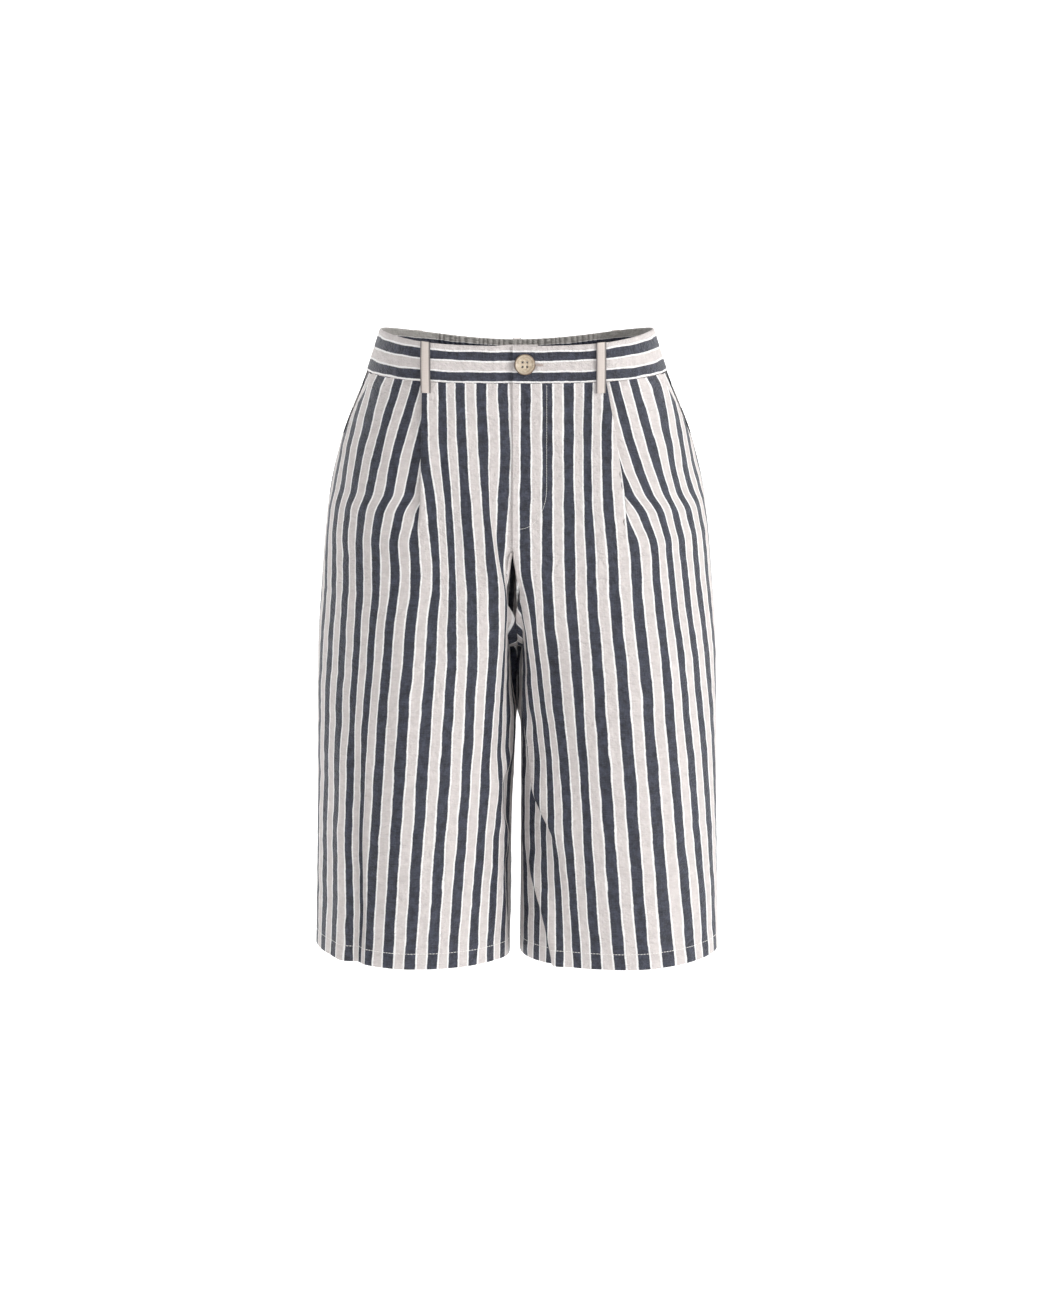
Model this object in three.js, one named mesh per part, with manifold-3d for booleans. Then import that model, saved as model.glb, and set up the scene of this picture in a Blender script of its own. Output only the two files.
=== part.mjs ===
import * as THREE from "three";
import { mergeVertices } from "three/addons/utils/BufferGeometryUtils.js";
import Module from "manifold-3d";

// Striped bermuda shorts, filled out and hollow, with no wearer.
// Millimetres, +Z up. The front faces -Y and +X is the wearer's left.
// The origin is the middle of the waist, level with the centre front's top edge.

const clothThickness = 1.2;
const bandThickness = 2.4;
const loopThickness = 1.4;
const seamGap = 0.3;
const halfGap = seamGap / 2;

const bandHeight = 35;
const shortsLength = 613;
const crotchDepth = 300;
const inseamForward = 11;

const hemTurnUp = 17;
const hemExtraThickness = 1.4;

const lapLine = -4;
const lapHiddenEdge = 1;
const lapStep = 1.8;
const lapEase = 20;
const lapBottom = -188;
const bandLapStep = 2.7;
const bandUnderlap = 20;

const pocketMouthWidth = 38;
const pocketMouthBottom = -122;
const pocketBagWidth = 70;
const pocketInset = 1.8;
const pocketTop = -36.4;

const loopWidth = 9;
const loopBottom = -45;
const loopMiddleStandOff = 3.3;
const loopEndStandOff = 2.2;
const gatheredStandOff = 1.1;

const buttonDiameter = 20;
const buttonThickness = 3;
const buttonHeight = -17.7;
const buttonAcross = 7.6;
const buttonHoleDiameter = 2;
const buttonHolePitch = 4.4;

const elasticHalfWidth = 84;
const bandGathers = 30;
const bandGatherDepth = 0.8;
const backGathers = 5;
const gatherAcross = 90;
const backGatherDepth = 2;
const backGatherBottom = -140;

// Level sections. side: half width. crease: from the centre to the leg's front crease.
// front, back: depth at the crease. belly, seat: extra depth at the centre.
// seam: how far back the side seam lies. roundFront, roundBack: how deep the leg
// rounds in towards its inner side.
const sections = [
  {
    z: 0, side: 133, crease: 78, front: 80, belly: 8, back: 80, seat: 8, seam: 0,
    roundFront: 0, roundBack: 0,
  },
  {
    z: -35, side: 146.5, crease: 80, front: 84, belly: 9, back: 87, seat: 8, seam: 0,
    roundFront: 0, roundBack: 0,
  },
  {
    z: -96, side: 172.6, crease: 80, front: 88, belly: 9, back: 100, seat: 8, seam: 2,
    roundFront: 0, roundBack: 0,
  },
  {
    z: -152, side: 185.6, crease: 80, front: 91, belly: 8, back: 108, seat: 6, seam: 3,
    roundFront: 0, roundBack: 6,
  },
  {
    z: -231, side: 193.5, crease: 84, front: 94, belly: 4, back: 108, seat: 3, seam: 4,
    roundFront: 10, roundBack: 36,
  },
  {
    z: -304, side: 198.5, crease: 88, front: 95, belly: 0, back: 101, seat: 0, seam: 4,
    roundFront: 48, roundBack: 68,
  },
  {
    z: -503, side: 201.6, crease: 98, front: 91, belly: 0, back: 90, seat: 0, seam: 0,
    roundFront: 160, roundBack: 180,
  },
  {
    z: -613, side: 204.5, crease: 104, front: 88, belly: 0, back: 86, seat: 0, seam: 0,
    roundFront: 200, roundBack: 220,
  },
];

// The waist's saddle. lift: how far the sides stand above the centre front.
// drop: how far the centre back lies below it.
const saddle = [
  { z: 0, lift: 12.3, drop: 3.4 },
  { z: -35, lift: 6.3, drop: 2.5 },
  { z: -120, lift: 0, drop: 0 },
  { z: -613, lift: 0, drop: 0 },
];

// The pleat under each front loop. depth: one hidden layer. bend: radius of a fold.
// opened: 0 is folded and 1 is flat.
const pleatRows = [
  { z: -35, depth: 25, bend: 0.8, opened: 0 },
  { z: -91, depth: 15, bend: 1.1, opened: 0 },
  { z: -140, depth: 5.5, bend: 1.4, opened: 0 },
  { z: -163, depth: 1, bend: 1.7, opened: 0.5 },
  { z: -192, depth: 0.5, bend: 2, opened: 1 },
  { z: -613, depth: 0.5, bend: 2, opened: 1 },
];

// What differs between the two sides, in distances from the centre.
const leftSide = {
  sign: 1,
  laps: true,
  foldLine: [
    { z: -35, across: 84 },
    { z: -91, across: 94 },
    { z: -152, across: 102 },
    { z: -300, across: 104 },
    { z: -613, across: 112 },
  ],
  innerEdge: [
    { z: -300, across: 0.75 },
    { z: -343, across: 3 },
    { z: -403, across: 4.5 },
    { z: -533, across: 4 },
    { z: -613, across: 3 },
  ],
  hemLift: 1,
  loopAcross: 79.5,
};
const rightSide = {
  sign: -1,
  laps: false,
  foldLine: [
    { z: -35, across: 89 },
    { z: -91, across: 90 },
    { z: -152, across: 91 },
    { z: -300, across: 97 },
    { z: -613, across: 108 },
  ],
  innerEdge: [
    { z: -300, across: 0.75 },
    { z: -343, across: 0.9 },
    { z: -403, across: 2.5 },
    { z: -473, across: 5.5 },
    { z: -613, across: 7.5 },
  ],
  hemLift: 5,
  loopAcross: 86,
};

// Soft drape folds on the legs, from a top point to a bottom point.
// across: distance from the centre. depth: outward if positive.
const frontFolds = [
  { side: 1, topZ: -330, topAcross: 26, bottomZ: -600, bottomAcross: 62, width: 12, depth: 3 },
  { side: 1, topZ: -300, topAcross: 150, bottomZ: -600, bottomAcross: 158, width: 15, depth: 2 },
  { side: -1, topZ: -400, topAcross: 158, bottomZ: -620, bottomAcross: 163, width: 10, depth: 3.2 },
  { side: -1, topZ: -330, topAcross: 24, bottomZ: -600, bottomAcross: 52, width: 12, depth: 2.4 },
];
const backFolds = [
  { side: 1, topZ: -150, topAcross: 110, bottomZ: -420, bottomAcross: 60, width: 16, depth: 3 },
  { side: 1, topZ: -360, topAcross: 140, bottomZ: -620, bottomAcross: 150, width: 14, depth: 3 },
  { side: -1, topZ: -160, topAcross: 104, bottomZ: -440, bottomAcross: 54, width: 15, depth: 2.6 },
  { side: -1, topZ: -380, topAcross: 132, bottomZ: -620, bottomAcross: 146, width: 13, depth: 3 },
];

const upperRows = [-bandHeight - halfGap, -64, -96, pocketMouthBottom - 1, -141, -153, -165, -177];
const hemRows = [2 - shortsLength + hemTurnUp, -shortsLength + hemTurnUp, -shortsLength];
const frontRows = [
  ...upperRows,
  lapBottom,
  -203,
  -225,
  -249,
  -269,
  -284,
  -293,
  -298,
  -crotchDepth,
  -303,
  -313,
  -343,
  -393,
  -453,
  -523,
  ...hemRows,
];
const backRows = [
  ...upperRows.slice(0, 6),
  -188,
  -225,
  -253,
  -273,
  -287,
  -295,
  -299,
  -crotchDepth,
  -303,
  -313,
  -343,
  -393,
  -463,
  -533,
  ...hemRows,
];

const clamp01 = (t) => Math.min(1, Math.max(0, t));
const smooth = (t) => {
  const c = clamp01(t);
  return c * c * (3 - 2 * c);
};
const mix = (a, b, t) => a + (b - a) * t;

// A column of a table at height z, joined by a smooth curve that never overshoots.
function read(table, column, z) {
  const last = table.length - 1;
  if (z >= table[0].z) return table[0][column];
  if (z <= table[last].z) return table[last][column];
  let k = 0;
  while (table[k + 1].z > z) k += 1;
  const slope = (i) => {
    if (i < 0 || i >= last) return null;
    return (table[i + 1][column] - table[i][column]) / (table[i + 1].z - table[i].z);
  };
  const tangent = (i) => {
    const before = slope(i - 1);
    const after = slope(i);
    if (before === null) return after;
    if (after === null) return before;
    return before * after <= 0 ? 0 : (2 * before * after) / (before + after);
  };
  const span = table[k + 1].z - table[k].z;
  const t = (z - table[k].z) / span;
  const t2 = t * t;
  const t3 = t2 * t;
  return (
    (2 * t3 - 3 * t2 + 1) * table[k][column] +
    (t3 - 2 * t2 + t) * span * tangent(k) +
    (3 * t2 - 2 * t3) * table[k + 1][column] +
    (t3 - t2) * span * tangent(k + 1)
  );
}

// A quarter of a superellipse: angle 0 gives (1, 0) and a right angle gives (0, 1).
function quarter(angle, power) {
  const c = Math.max(0, Math.cos(angle));
  const s = Math.max(0, Math.sin(angle));
  const r = (c ** power + s ** power) ** (-1 / power);
  return { along: c * r, across: s * r };
}

// A level curve with points and normals by distance from its start.
function measured(points) {
  const run = [0];
  for (let i = 1; i < points.length; i += 1) {
    const dx = points[i].x - points[i - 1].x;
    const dy = points[i].y - points[i - 1].y;
    run.push(run[i - 1] + Math.hypot(dx, dy));
  }
  const last = points.length - 2;
  const at = (distance) => {
    let k = 0;
    while (k < last && run[k + 1] < distance) k += 1;
    const t = (distance - run[k]) / (run[k + 1] - run[k]);
    const tangent = (i) => {
      const a = points[Math.max(0, i - 1)];
      const b = points[Math.min(points.length - 1, i + 1)];
      const length = Math.hypot(b.x - a.x, b.y - a.y);
      return { x: (b.x - a.x) / length, y: (b.y - a.y) / length };
    };
    const from = tangent(k);
    const to = tangent(k + 1);
    const c = clamp01(t);
    const tx = mix(from.x, to.x, c);
    const ty = mix(from.y, to.y, c);
    const length = Math.hypot(tx, ty);
    return {
      x: mix(points[k].x, points[k + 1].x, t),
      y: mix(points[k].y, points[k + 1].y, t),
      nx: ty / length,
      ny: -tx / length,
    };
  };
  const whereAcross = (x) => {
    let k = last;
    while (k > 0 && (points[k].x - x) * (points[k + 1].x - x) > 0) k -= 1;
    return run[k] + ((x - points[k].x) / (points[k + 1].x - points[k].x)) * (run[k + 1] - run[k]);
  };
  return { length: run[run.length - 1], at, whereAcross };
}

// How far the crotch curve has come from the centre line to the inseam: 0 to 1.
function crotchRun(z, startZ) {
  const s = clamp01((startZ - z) / (startZ + crotchDepth));
  return 1 - Math.sqrt(Math.max(0, 1 - s ** 1.6));
}

const crotchStartFront = -203;
const crotchStartBack = -143;
const curveSteps = 36;
const straightSteps = 8;
const outerPower = 1.9;
const frontLiftPower = 3;
const backLiftPower = 1.8;

// The inner start of a panel at height z, as a distance from the centre.
function innerStart(side, z) {
  if (z <= -crotchDepth) return read(side.innerEdge, "across", z);
  const towardsInseam = smooth((-228 - z) / (crotchDepth - 228));
  const shift = -side.sign * -lapLine * (1 - towardsInseam);
  const wall = mix(halfGap, 0.75, smooth((-198 - z) / 20));
  return wall + shift;
}

// The smaller of two lengths, blended where they are alike.
const softMin = (a, b) => (a <= 0 || b <= 0 ? 0 : (a * b) / (a ** 4 + b ** 4) ** 0.25);

// The inner part of a level curve, from the centre line out to the crease. The wall
// first runs straight fore and aft, then rounds over.
function innerPart(startAcross, startY, crease, creaseY, fullness, power) {
  const reach = Math.abs(creaseY - startY);
  const corner = softMin(reach, fullness);
  const towards = Math.sign(creaseY - startY) || 1;
  const turnY = creaseY - towards * corner;
  const points = [];
  const straight = reach - corner;
  if (straight > 0.5)
    for (let i = 0; i < straightSteps; i += 1)
      points.push({ x: startAcross, y: mix(startY, turnY, i / straightSteps) });
  for (let i = 0; i <= curveSteps; i += 1) {
    const q = quarter(((i / curveSteps) * Math.PI) / 2, power);
    points.push({
      x: crease - (crease - startAcross) * q.along,
      y: turnY + (creaseY - turnY) * q.across,
    });
  }
  return points;
}

// The outer part, from the crease round to the side seam.
function outerPart(side, crease, creaseY, seam) {
  const points = [];
  for (let i = 1; i <= curveSteps; i += 1) {
    const q = quarter(((i / curveSteps) * Math.PI) / 2, outerPower);
    points.push({ x: crease + (side - crease) * q.across, y: seam + (creaseY - seam) * q.along });
  }
  return points;
}

function frontSection(side, z, startAcross) {
  const row = (column) => read(sections, column, z);
  const start = startAcross ?? innerStart(side, z);
  const creaseY = -row("front");
  const inseamY = -inseamForward - halfGap;
  const startY = mix(creaseY, inseamY, crotchRun(z, crotchStartFront));
  const power = mix(4, 2, smooth((crotchStartFront - z) / 90));
  const points = [
    ...innerPart(start, startY, row("crease"), creaseY, row("roundFront"), power),
    ...outerPart(row("side"), row("crease"), creaseY, row("seam")),
  ];
  for (const p of points) p.y -= row("belly") * (1 - (p.x / row("side")) ** 2);
  return measured(points);
}

function backSection(side, z, endAcross) {
  const row = (column) => read(sections, column, z);
  const beside = z > -crotchDepth
    ? mix(halfGap, 0.75, smooth((crotchStartBack - 10 - z) / 20))
    : read(side.innerEdge, "across", z);
  const end = endAcross ?? beside;
  const creaseY = row("back");
  const inseamY = -inseamForward + halfGap;
  const endY = mix(creaseY, inseamY, crotchRun(z, crotchStartBack));
  const power = mix(3.4, 2.5, smooth((-200 - z) / 140));
  const points = [
    ...innerPart(end, endY, row("crease"), creaseY, row("roundBack"), power),
    ...outerPart(row("side"), row("crease"), creaseY, row("seam")),
  ].reverse();
  for (const p of points) p.y += row("seat") * (1 - (p.x / row("side")) ** 2);
  return measured(points);
}

// Soft folds that lie across a level curve at height z.
function foldHeight(folds, side, across, z) {
  let height = 0;
  for (const fold of folds) {
    if (fold.side !== side.sign) continue;
    const t = (fold.topZ - z) / (fold.topZ - fold.bottomZ);
    if (t <= 0 || t > 1.05) continue;
    const centre = mix(fold.topAcross, fold.bottomAcross, t);
    const away = (across - centre) / fold.width;
    height += fold.depth * smooth(t * 3) * Math.exp(-away * away);
  }
  return height;
}

function lifted(side, z, x, power) {
  const share = clamp01(Math.abs(x) / read(sections, "side", z)) ** power;
  const atHem = side.hemLift * smooth((-480 - z) / 130);
  const drop = power === backLiftPower ? read(saddle, "drop", z) : 0;
  return z + (read(saddle, "lift", z) + atHem) * share - drop * (1 - share);
}

function place(side, curve, distance, outward, z, power) {
  const p = curve.at(distance);
  return new THREE.Vector3(
    p.x + p.nx * outward,
    p.y + p.ny * outward,
    lifted(side, z, p.x, power),
  );
}

// The pleat at height z: where cloth at a distance past the fold line lies.
function pleatAt(z) {
  const depth = read(pleatRows, "depth", z);
  const bend = read(pleatRows, "bend", z);
  const opened = read(pleatRows, "opened", z);
  const turn = Math.PI * bend;
  const cloth = 2 * depth + 2 * turn;
  const folded = (q) => {
    if (q <= turn) return { along: bend * Math.sin(q / bend), out: bend * (Math.cos(q / bend) - 1) };
    if (q <= turn + depth) return { along: turn - q, out: -2 * bend };
    if (q <= 2 * turn + depth) {
      const angle = (q - turn - depth) / bend;
      return { along: -depth - bend * Math.sin(angle), out: bend * (Math.cos(angle) - 3) };
    }
    return { along: q - 2 * turn - 2 * depth, out: -4 * bend };
  };
  const at = (q) => {
    const f = folded(q);
    return { along: mix(f.along, q, opened), out: f.out * (1 - opened) };
  };
  const turnSteps = 4;
  const stops = [];
  for (let i = 1; i <= turnSteps; i += 1) stops.push((turn * i) / turnSteps);
  for (let i = 0; i <= turnSteps; i += 1) stops.push(turn + depth + (turn * i) / turnSteps);
  stops.push(cloth);
  return { cloth, taken: cloth * opened, at, stops, drop: -4 * bend * (1 - opened) };
}

const pleatEase = 45;
// Where the front face gives way to the wall between the legs, in distances from the
// centre. The columns of points gather there.
const turnAcross = [
  { z: -150, front: 34, back: 36 },
  { z: -300, front: 13, back: 18 },
  { z: -613, front: 20, back: 24 },
];
const wallShares = [0, 0.3, 0.56, 0.78, 0.92];
const faceShares = [0, 0.16, 0.36, 0.58, 0.8, 1];
const outerShares = [0.07, 0.16, 0.28, 0.42, 0.56, 0.7, 0.82, 0.92, 0.98, 1];

function pocketCut(z) {
  if (z <= pocketMouthBottom) return 0;
  const t = clamp01((-bandHeight - z) / (-bandHeight - pocketMouthBottom));
  return pocketMouthWidth * (1 - t) ** 0.9;
}

// The right front's lap edge is tucked under the left front.
function frontStart(side, z) {
  if (!side.laps && z >= lapBottom) return lapHiddenEdge;
  return innerStart(side, z);
}

function lapOffset(side, z, across) {
  if (side.laps || z < -203.5) return 0;
  return -lapStep * (1 - smooth((across + lapLine - 0.5) / lapEase));
}

// A point of a front panel outside the pleat, moved outward by extra.
function frontPoint(side, z, curve, pleat, foldRun, distance, extra) {
  const past = distance - foldRun;
  const drop = past > 0 ? pleat.drop * (1 - smooth((past - pleat.taken) / pleatEase)) : 0;
  const across = curve.at(distance).x;
  const out =
    drop + extra + lapOffset(side, z, across) + foldHeight(frontFolds, side, across, z);
  return place(side, curve, distance, out, z, frontLiftPower);
}

function frontGrid(side) {
  return frontRows.map((z) => {
    const curve = frontSection(side, z, frontStart(side, z));
    const pleat = pleatAt(z);
    const foldRun = curve.whereAcross(read(side.foldLine, "across", z));
    const turnRun = curve.whereAcross(read(turnAcross, "front", z));
    const runs = [
      ...wallShares.map((share) => turnRun * share),
      ...faceShares.map((share) => mix(turnRun, foldRun, share)),
    ];
    const line = runs.map((run) => frontPoint(side, z, curve, pleat, foldRun, run, 0));
    for (const stop of pleat.stops) {
      const p = pleat.at(stop);
      const across = curve.at(foldRun + p.along).x;
      const out = p.out + foldHeight(frontFolds, side, across, z);
      line.push(place(side, curve, foldRun + p.along, out, z, frontLiftPower));
    }
    const from = foldRun + pleat.taken;
    const to = curve.length - halfGap - pocketCut(z);
    for (const share of outerShares)
      line.push(frontPoint(side, z, curve, pleat, foldRun, mix(from, to, share), 0));
    return line;
  });
}

function pocketGrid(side) {
  return [pocketTop, ...frontRows.slice(1, 9)].map((z) => {
    const curve = frontSection(side, z);
    const pleat = pleatAt(z);
    const foldRun = curve.whereAcross(read(side.foldLine, "across", z));
    const seamSide = z < pocketMouthBottom ? 5 : halfGap;
    const line = [];
    const steps = 6;
    for (let i = 0; i <= steps; i += 1) {
      const inFromSeam = mix(pocketBagWidth, seamSide, i / steps);
      line.push(frontPoint(side, z, curve, pleat, foldRun, curve.length - inFromSeam, -pocketInset));
    }
    return line;
  });
}

function backGrid(side) {
  const plainShares = [0, 0.03, 0.13, 0.3, 0.5, 0.75];
  const stepsPerGather = 4;
  return backRows.map((z) => {
    const curve = backSection(side, z);
    const line = [];
    const from = halfGap;
    const plain = curve.whereAcross(gatherAcross);
    const turn = curve.whereAcross(read(turnAcross, "back", z));
    const strength = backGatherDepth * (1 - smooth((-bandHeight - z) / (-bandHeight - backGatherBottom)));
    const push = (distance, extra) => {
      const across = curve.at(distance).x;
      const out = extra + foldHeight(backFolds, side, across, z);
      line.push(place(side, curve, distance, out, z, backLiftPower));
    };
    for (const share of plainShares) push(mix(from, plain, share), 0);
    const steps = backGathers * stepsPerGather;
    const wallSteps = 8;
    const faceSteps = steps - wallSteps;
    const to = curve.length - (z > -crotchDepth ? halfGap : 0);
    for (let i = 0; i <= steps; i += 1) {
      const uneven = 1 + 0.3 * Math.sin(i * 1.7 + side.sign);
      const wave = Math.sin((i / stepsPerGather) * 2 * Math.PI) * strength * uneven;
      const run = i < faceSteps
        ? mix(plain, turn, i / faceSteps)
        : mix(turn, to, (i - faceSteps) / wallSteps);
      push(run, wave);
    }
    return line;
  });
}

const bandRows = [0, -bandHeight / 2, -bandHeight + seamGap];

function frontBandGrid(side) {
  const start = side.laps ? lapLine : -bandUnderlap;
  const shares = [0, 0.04, 0.08, 0.13, 0.2, 0.28, 0.37, 0.46, 0.55, 0.64, 0.73, 0.81, 0.88, 0.94, 1];
  return bandRows.map((z) => {
    const curve = frontSection(side, z, start);
    return shares.map((share) => {
      const distance = share * (curve.length - halfGap);
      const across = curve.at(distance).x;
      const tucked = side.laps ? 0 : 1 - smooth((across + lapLine - 1) / lapEase);
      return place(side, curve, distance, -bandLapStep * tucked, z, frontLiftPower);
    });
  });
}

// The back band runs from the right side seam round to the left one.
function backBandGrid() {
  const stepsPerGather = 4;
  return bandRows.map((z) => {
    const curve = backSection(leftSide, z, 0);
    const gatherStart = curve.length - elasticHalfWidth;
    const line = [];
    const plainSteps = 6;
    for (let i = 0; i < plainSteps; i += 1)
      line.push({ distance: mix(halfGap, gatherStart, i / plainSteps), wave: 0, sign: 1 });
    const steps = bandGathers * stepsPerGather;
    for (let i = 0; i <= steps; i += 1) {
      const around = (i / steps) * 2 - 1;
      const uneven = 1 + 0.35 * Math.sin(i * 0.83) * Math.cos(i * 0.31);
      const edge = smooth((1 - Math.abs(around)) * 12);
      line.push({
        distance: curve.length - Math.abs(around) * elasticHalfWidth,
        wave: Math.sin((i / stepsPerGather) * 2 * Math.PI) * bandGatherDepth * uneven * edge,
        sign: around <= 0 ? 1 : -1,
      });
    }
    for (let i = plainSteps - 1; i >= 0; i -= 1)
      line.push({ distance: mix(halfGap, gatherStart, i / plainSteps), wave: 0, sign: -1 });
    return line.map((p) => {
      const spot = place(leftSide, curve, p.distance, p.wave, z, backLiftPower);
      spot.x *= p.sign;
      return spot;
    });
  });
}

// A closed wall on a grid of middle points: rows run down, columns run towards +X
// at the front. outer and inner give its reach to each side of the middle, by row.
function wall(grid, outer, inner, mirrored) {
  const rows = grid.length;
  const columns = grid[0].length;
  const spots = [];
  for (const outward of [true, false]) {
    for (let i = 0; i < rows; i += 1) {
      for (let j = 0; j < columns; j += 1) {
        const down = grid[Math.min(rows - 1, i + 1)][j].clone().sub(grid[Math.max(0, i - 1)][j]);
        const along = grid[i][Math.min(columns - 1, j + 1)].clone().sub(grid[i][Math.max(0, j - 1)]);
        const normal = down.cross(along).normalize();
        const reach = outward ? outer(i) : -inner(i);
        spots.push(grid[i][j].clone().addScaledVector(normal, reach));
      }
    }
  }
  const index = (layer, i, j) => layer * rows * columns + i * columns + j;
  const faces = [];
  for (let i = 0; i + 1 < rows; i += 1) {
    for (let j = 0; j + 1 < columns; j += 1) {
      const corner = (layer) => [
        index(layer, i, j),
        index(layer, i, j + 1),
        index(layer, i + 1, j + 1),
        index(layer, i + 1, j),
      ];
      const [a, b, c, d] = corner(0);
      faces.push([a, d, b], [b, d, c]);
      const [e, f, g, h] = corner(1);
      faces.push([e, f, h], [f, g, h]);
    }
  }
  const rim = (p, q) => {
    const shift = rows * columns;
    faces.push([q, p, p + shift], [q, p + shift, q + shift]);
  };
  for (let j = 0; j + 1 < columns; j += 1) {
    rim(index(0, 0, j + 1), index(0, 0, j));
    rim(index(0, rows - 1, j), index(0, rows - 1, j + 1));
  }
  for (let i = 0; i + 1 < rows; i += 1) {
    rim(index(0, i, 0), index(0, i + 1, 0));
    rim(index(0, i + 1, columns - 1), index(0, i, columns - 1));
  }
  const sign = mirrored ? -1 : 1;
  const position = [];
  for (const spot of spots) position.push(spot.x * sign, spot.y, spot.z);
  const order = mirrored ? faces.map(([a, b, c]) => [a, c, b]) : faces;
  const geometry = new THREE.BufferGeometry();
  geometry.setAttribute("position", new THREE.Float32BufferAttribute(position, 3));
  geometry.setIndex(order.flat());
  geometry.computeVertexNormals();
  return geometry;
}

const evenWall = (grid, thickness, mirrored) =>
  wall(grid, () => thickness / 2, () => thickness / 2, mirrored);

// A leg panel, thicker inside where its hem is turned up.
function panelWall(grid, rows, mirrored) {
  const half = clothThickness / 2;
  const inner = (i) => (rows[i] <= hemTurnUp - shortsLength ? half + hemExtraThickness : half);
  return wall(grid, () => half, inner, mirrored);
}

function shieldGrid(width, bottom, leftEdge, inset) {
  const rows = [-bandHeight - halfGap, mix(-bandHeight, bottom, 0.35), mix(-bandHeight, bottom, 0.7), bottom];
  return rows.map((z, i) => {
    const curve = frontSection(leftSide, z, leftEdge);
    const narrow = i === rows.length - 1 ? 0.6 : 1;
    return [0, 0.33, 0.66, 1].map((share) =>
      place(leftSide, curve, width * share * narrow, -inset, z, frontLiftPower));
  });
}

// A belt loop over the band, at a distance across from the centre.
function loopGrid(side, section, across, power, extra = 0) {
  const rows = [0.6, -3, -10, -18, -26, -34, -40, loopBottom];
  return rows.map((z, i) => {
    const curve = section(side, Math.min(0, z));
    const where = section === frontSection
      ? curve.whereAcross(across)
      : curve.length - across;
    const t = i / (rows.length - 1);
    const bow = Math.sin(Math.PI * t);
    const standOff = mix(loopEndStandOff, loopMiddleStandOff, bow) + extra;
    return [-0.5, 0.5].map((half) => {
      const spot = place(side, curve, where + half * loopWidth, standOff, Math.min(0, z), power);
      spot.z += Math.max(0, z);
      return spot;
    });
  });
}

const wasm = await Module();
wasm.setup();

function solidOf(geometry) {
  const bare = geometry.clone();
  bare.deleteAttribute("normal");
  bare.deleteAttribute("uv");
  const merged = mergeVertices(bare, 1e-4);
  return new wasm.Manifold(new wasm.Mesh({
    numProp: 3,
    vertProperties: new Float32Array(merged.attributes.position.array),
    triVerts: new Uint32Array(merged.index.array),
  }));
}

// A turned button with a raised rim and four holes. Its axis is +Z.
function buttonGeometry() {
  const radius = buttonDiameter / 2;
  const well = buttonThickness - 1.1;
  const profile = [
    new THREE.Vector2(0, 0),
    new THREE.Vector2(radius - 1.6, 0),
    new THREE.Vector2(radius, 1.1),
    new THREE.Vector2(radius, 1.9),
    new THREE.Vector2(radius - 1, buttonThickness),
    new THREE.Vector2(radius - 2.2, buttonThickness),
    new THREE.Vector2(radius - 3.4, well),
    new THREE.Vector2(0, well),
  ];
  let solid = solidOf(new THREE.LatheGeometry(profile, 28).rotateX(Math.PI / 2));
  for (const [x, y] of [[1, 1], [1, -1], [-1, -1], [-1, 1]]) {
    const drill = new THREE.CylinderGeometry(
      buttonHoleDiameter / 2,
      buttonHoleDiameter / 2,
      buttonThickness * 3,
      8,
    ).rotateX(Math.PI / 2);
    drill.translate((x * buttonHolePitch) / 2, (y * buttonHolePitch) / 2, 0);
    solid = solid.subtract(solidOf(drill));
  }
  const mesh = solid.getMesh();
  const geometry = new THREE.BufferGeometry();
  geometry.setAttribute("position", new THREE.Float32BufferAttribute(mesh.vertProperties, 3));
  geometry.setIndex(Array.from(mesh.triVerts));
  geometry.computeVertexNormals();
  return geometry;
}

const stripedCloth = { color: 0xb9b0b2, roughness: 0.9, metalness: 0 };
const bandCloth = { color: 0xc8bfbf, roughness: 0.9, metalness: 0 };
const greigeCloth = { color: 0xd8cdc8, roughness: 0.9, metalness: 0 };
const hiddenCloth = { color: 0xc9c5c0, roughness: 0.9, metalness: 0 };
const hornCream = { color: 0xe3d3b4, roughness: 0.35, metalness: 0 };

const shorts = new THREE.Group();
shorts.name = "bermuda_shorts";

function add(name, geometry, look) {
  const mesh = new THREE.Mesh(geometry, new THREE.MeshStandardMaterial(look));
  mesh.name = name;
  shorts.add(mesh);
  return mesh;
}

for (const [word, side] of [["left", leftSide], ["right", rightSide]]) {
  const mirrored = side.sign < 0;
  add(`front_${word}`, panelWall(frontGrid(side), frontRows, mirrored), stripedCloth);
  add(`back_${word}`, panelWall(backGrid(side), backRows, mirrored), stripedCloth);
  add(`pocket_${word}`, evenWall(pocketGrid(side), 1, mirrored), stripedCloth);
  add(`waistband_front_${word}`, evenWall(frontBandGrid(side), bandThickness, mirrored), bandCloth);
  add(
    `loop_front_${word}`,
    evenWall(loopGrid(side, frontSection, side.loopAcross, frontLiftPower), loopThickness, mirrored),
    greigeCloth,
  );
  add(
    `loop_back_${word}`,
    evenWall(loopGrid(side, backSection, 100, backLiftPower), loopThickness, mirrored),
    greigeCloth,
  );
}

add("waistband_back", evenWall(backBandGrid(), bandThickness, false), bandCloth);
add("fly_shield", evenWall(shieldGrid(39, -181, -7, 3.6), clothThickness, false), stripedCloth);
add("zip", evenWall(shieldGrid(21, -175, 2.5, 1.8), 0.9, false), hiddenCloth);

add(
  "loop_back_centre",
  evenWall(loopGrid(leftSide, backSection, 0, backLiftPower, gatheredStandOff), loopThickness, false),
  greigeCloth,
);

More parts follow.
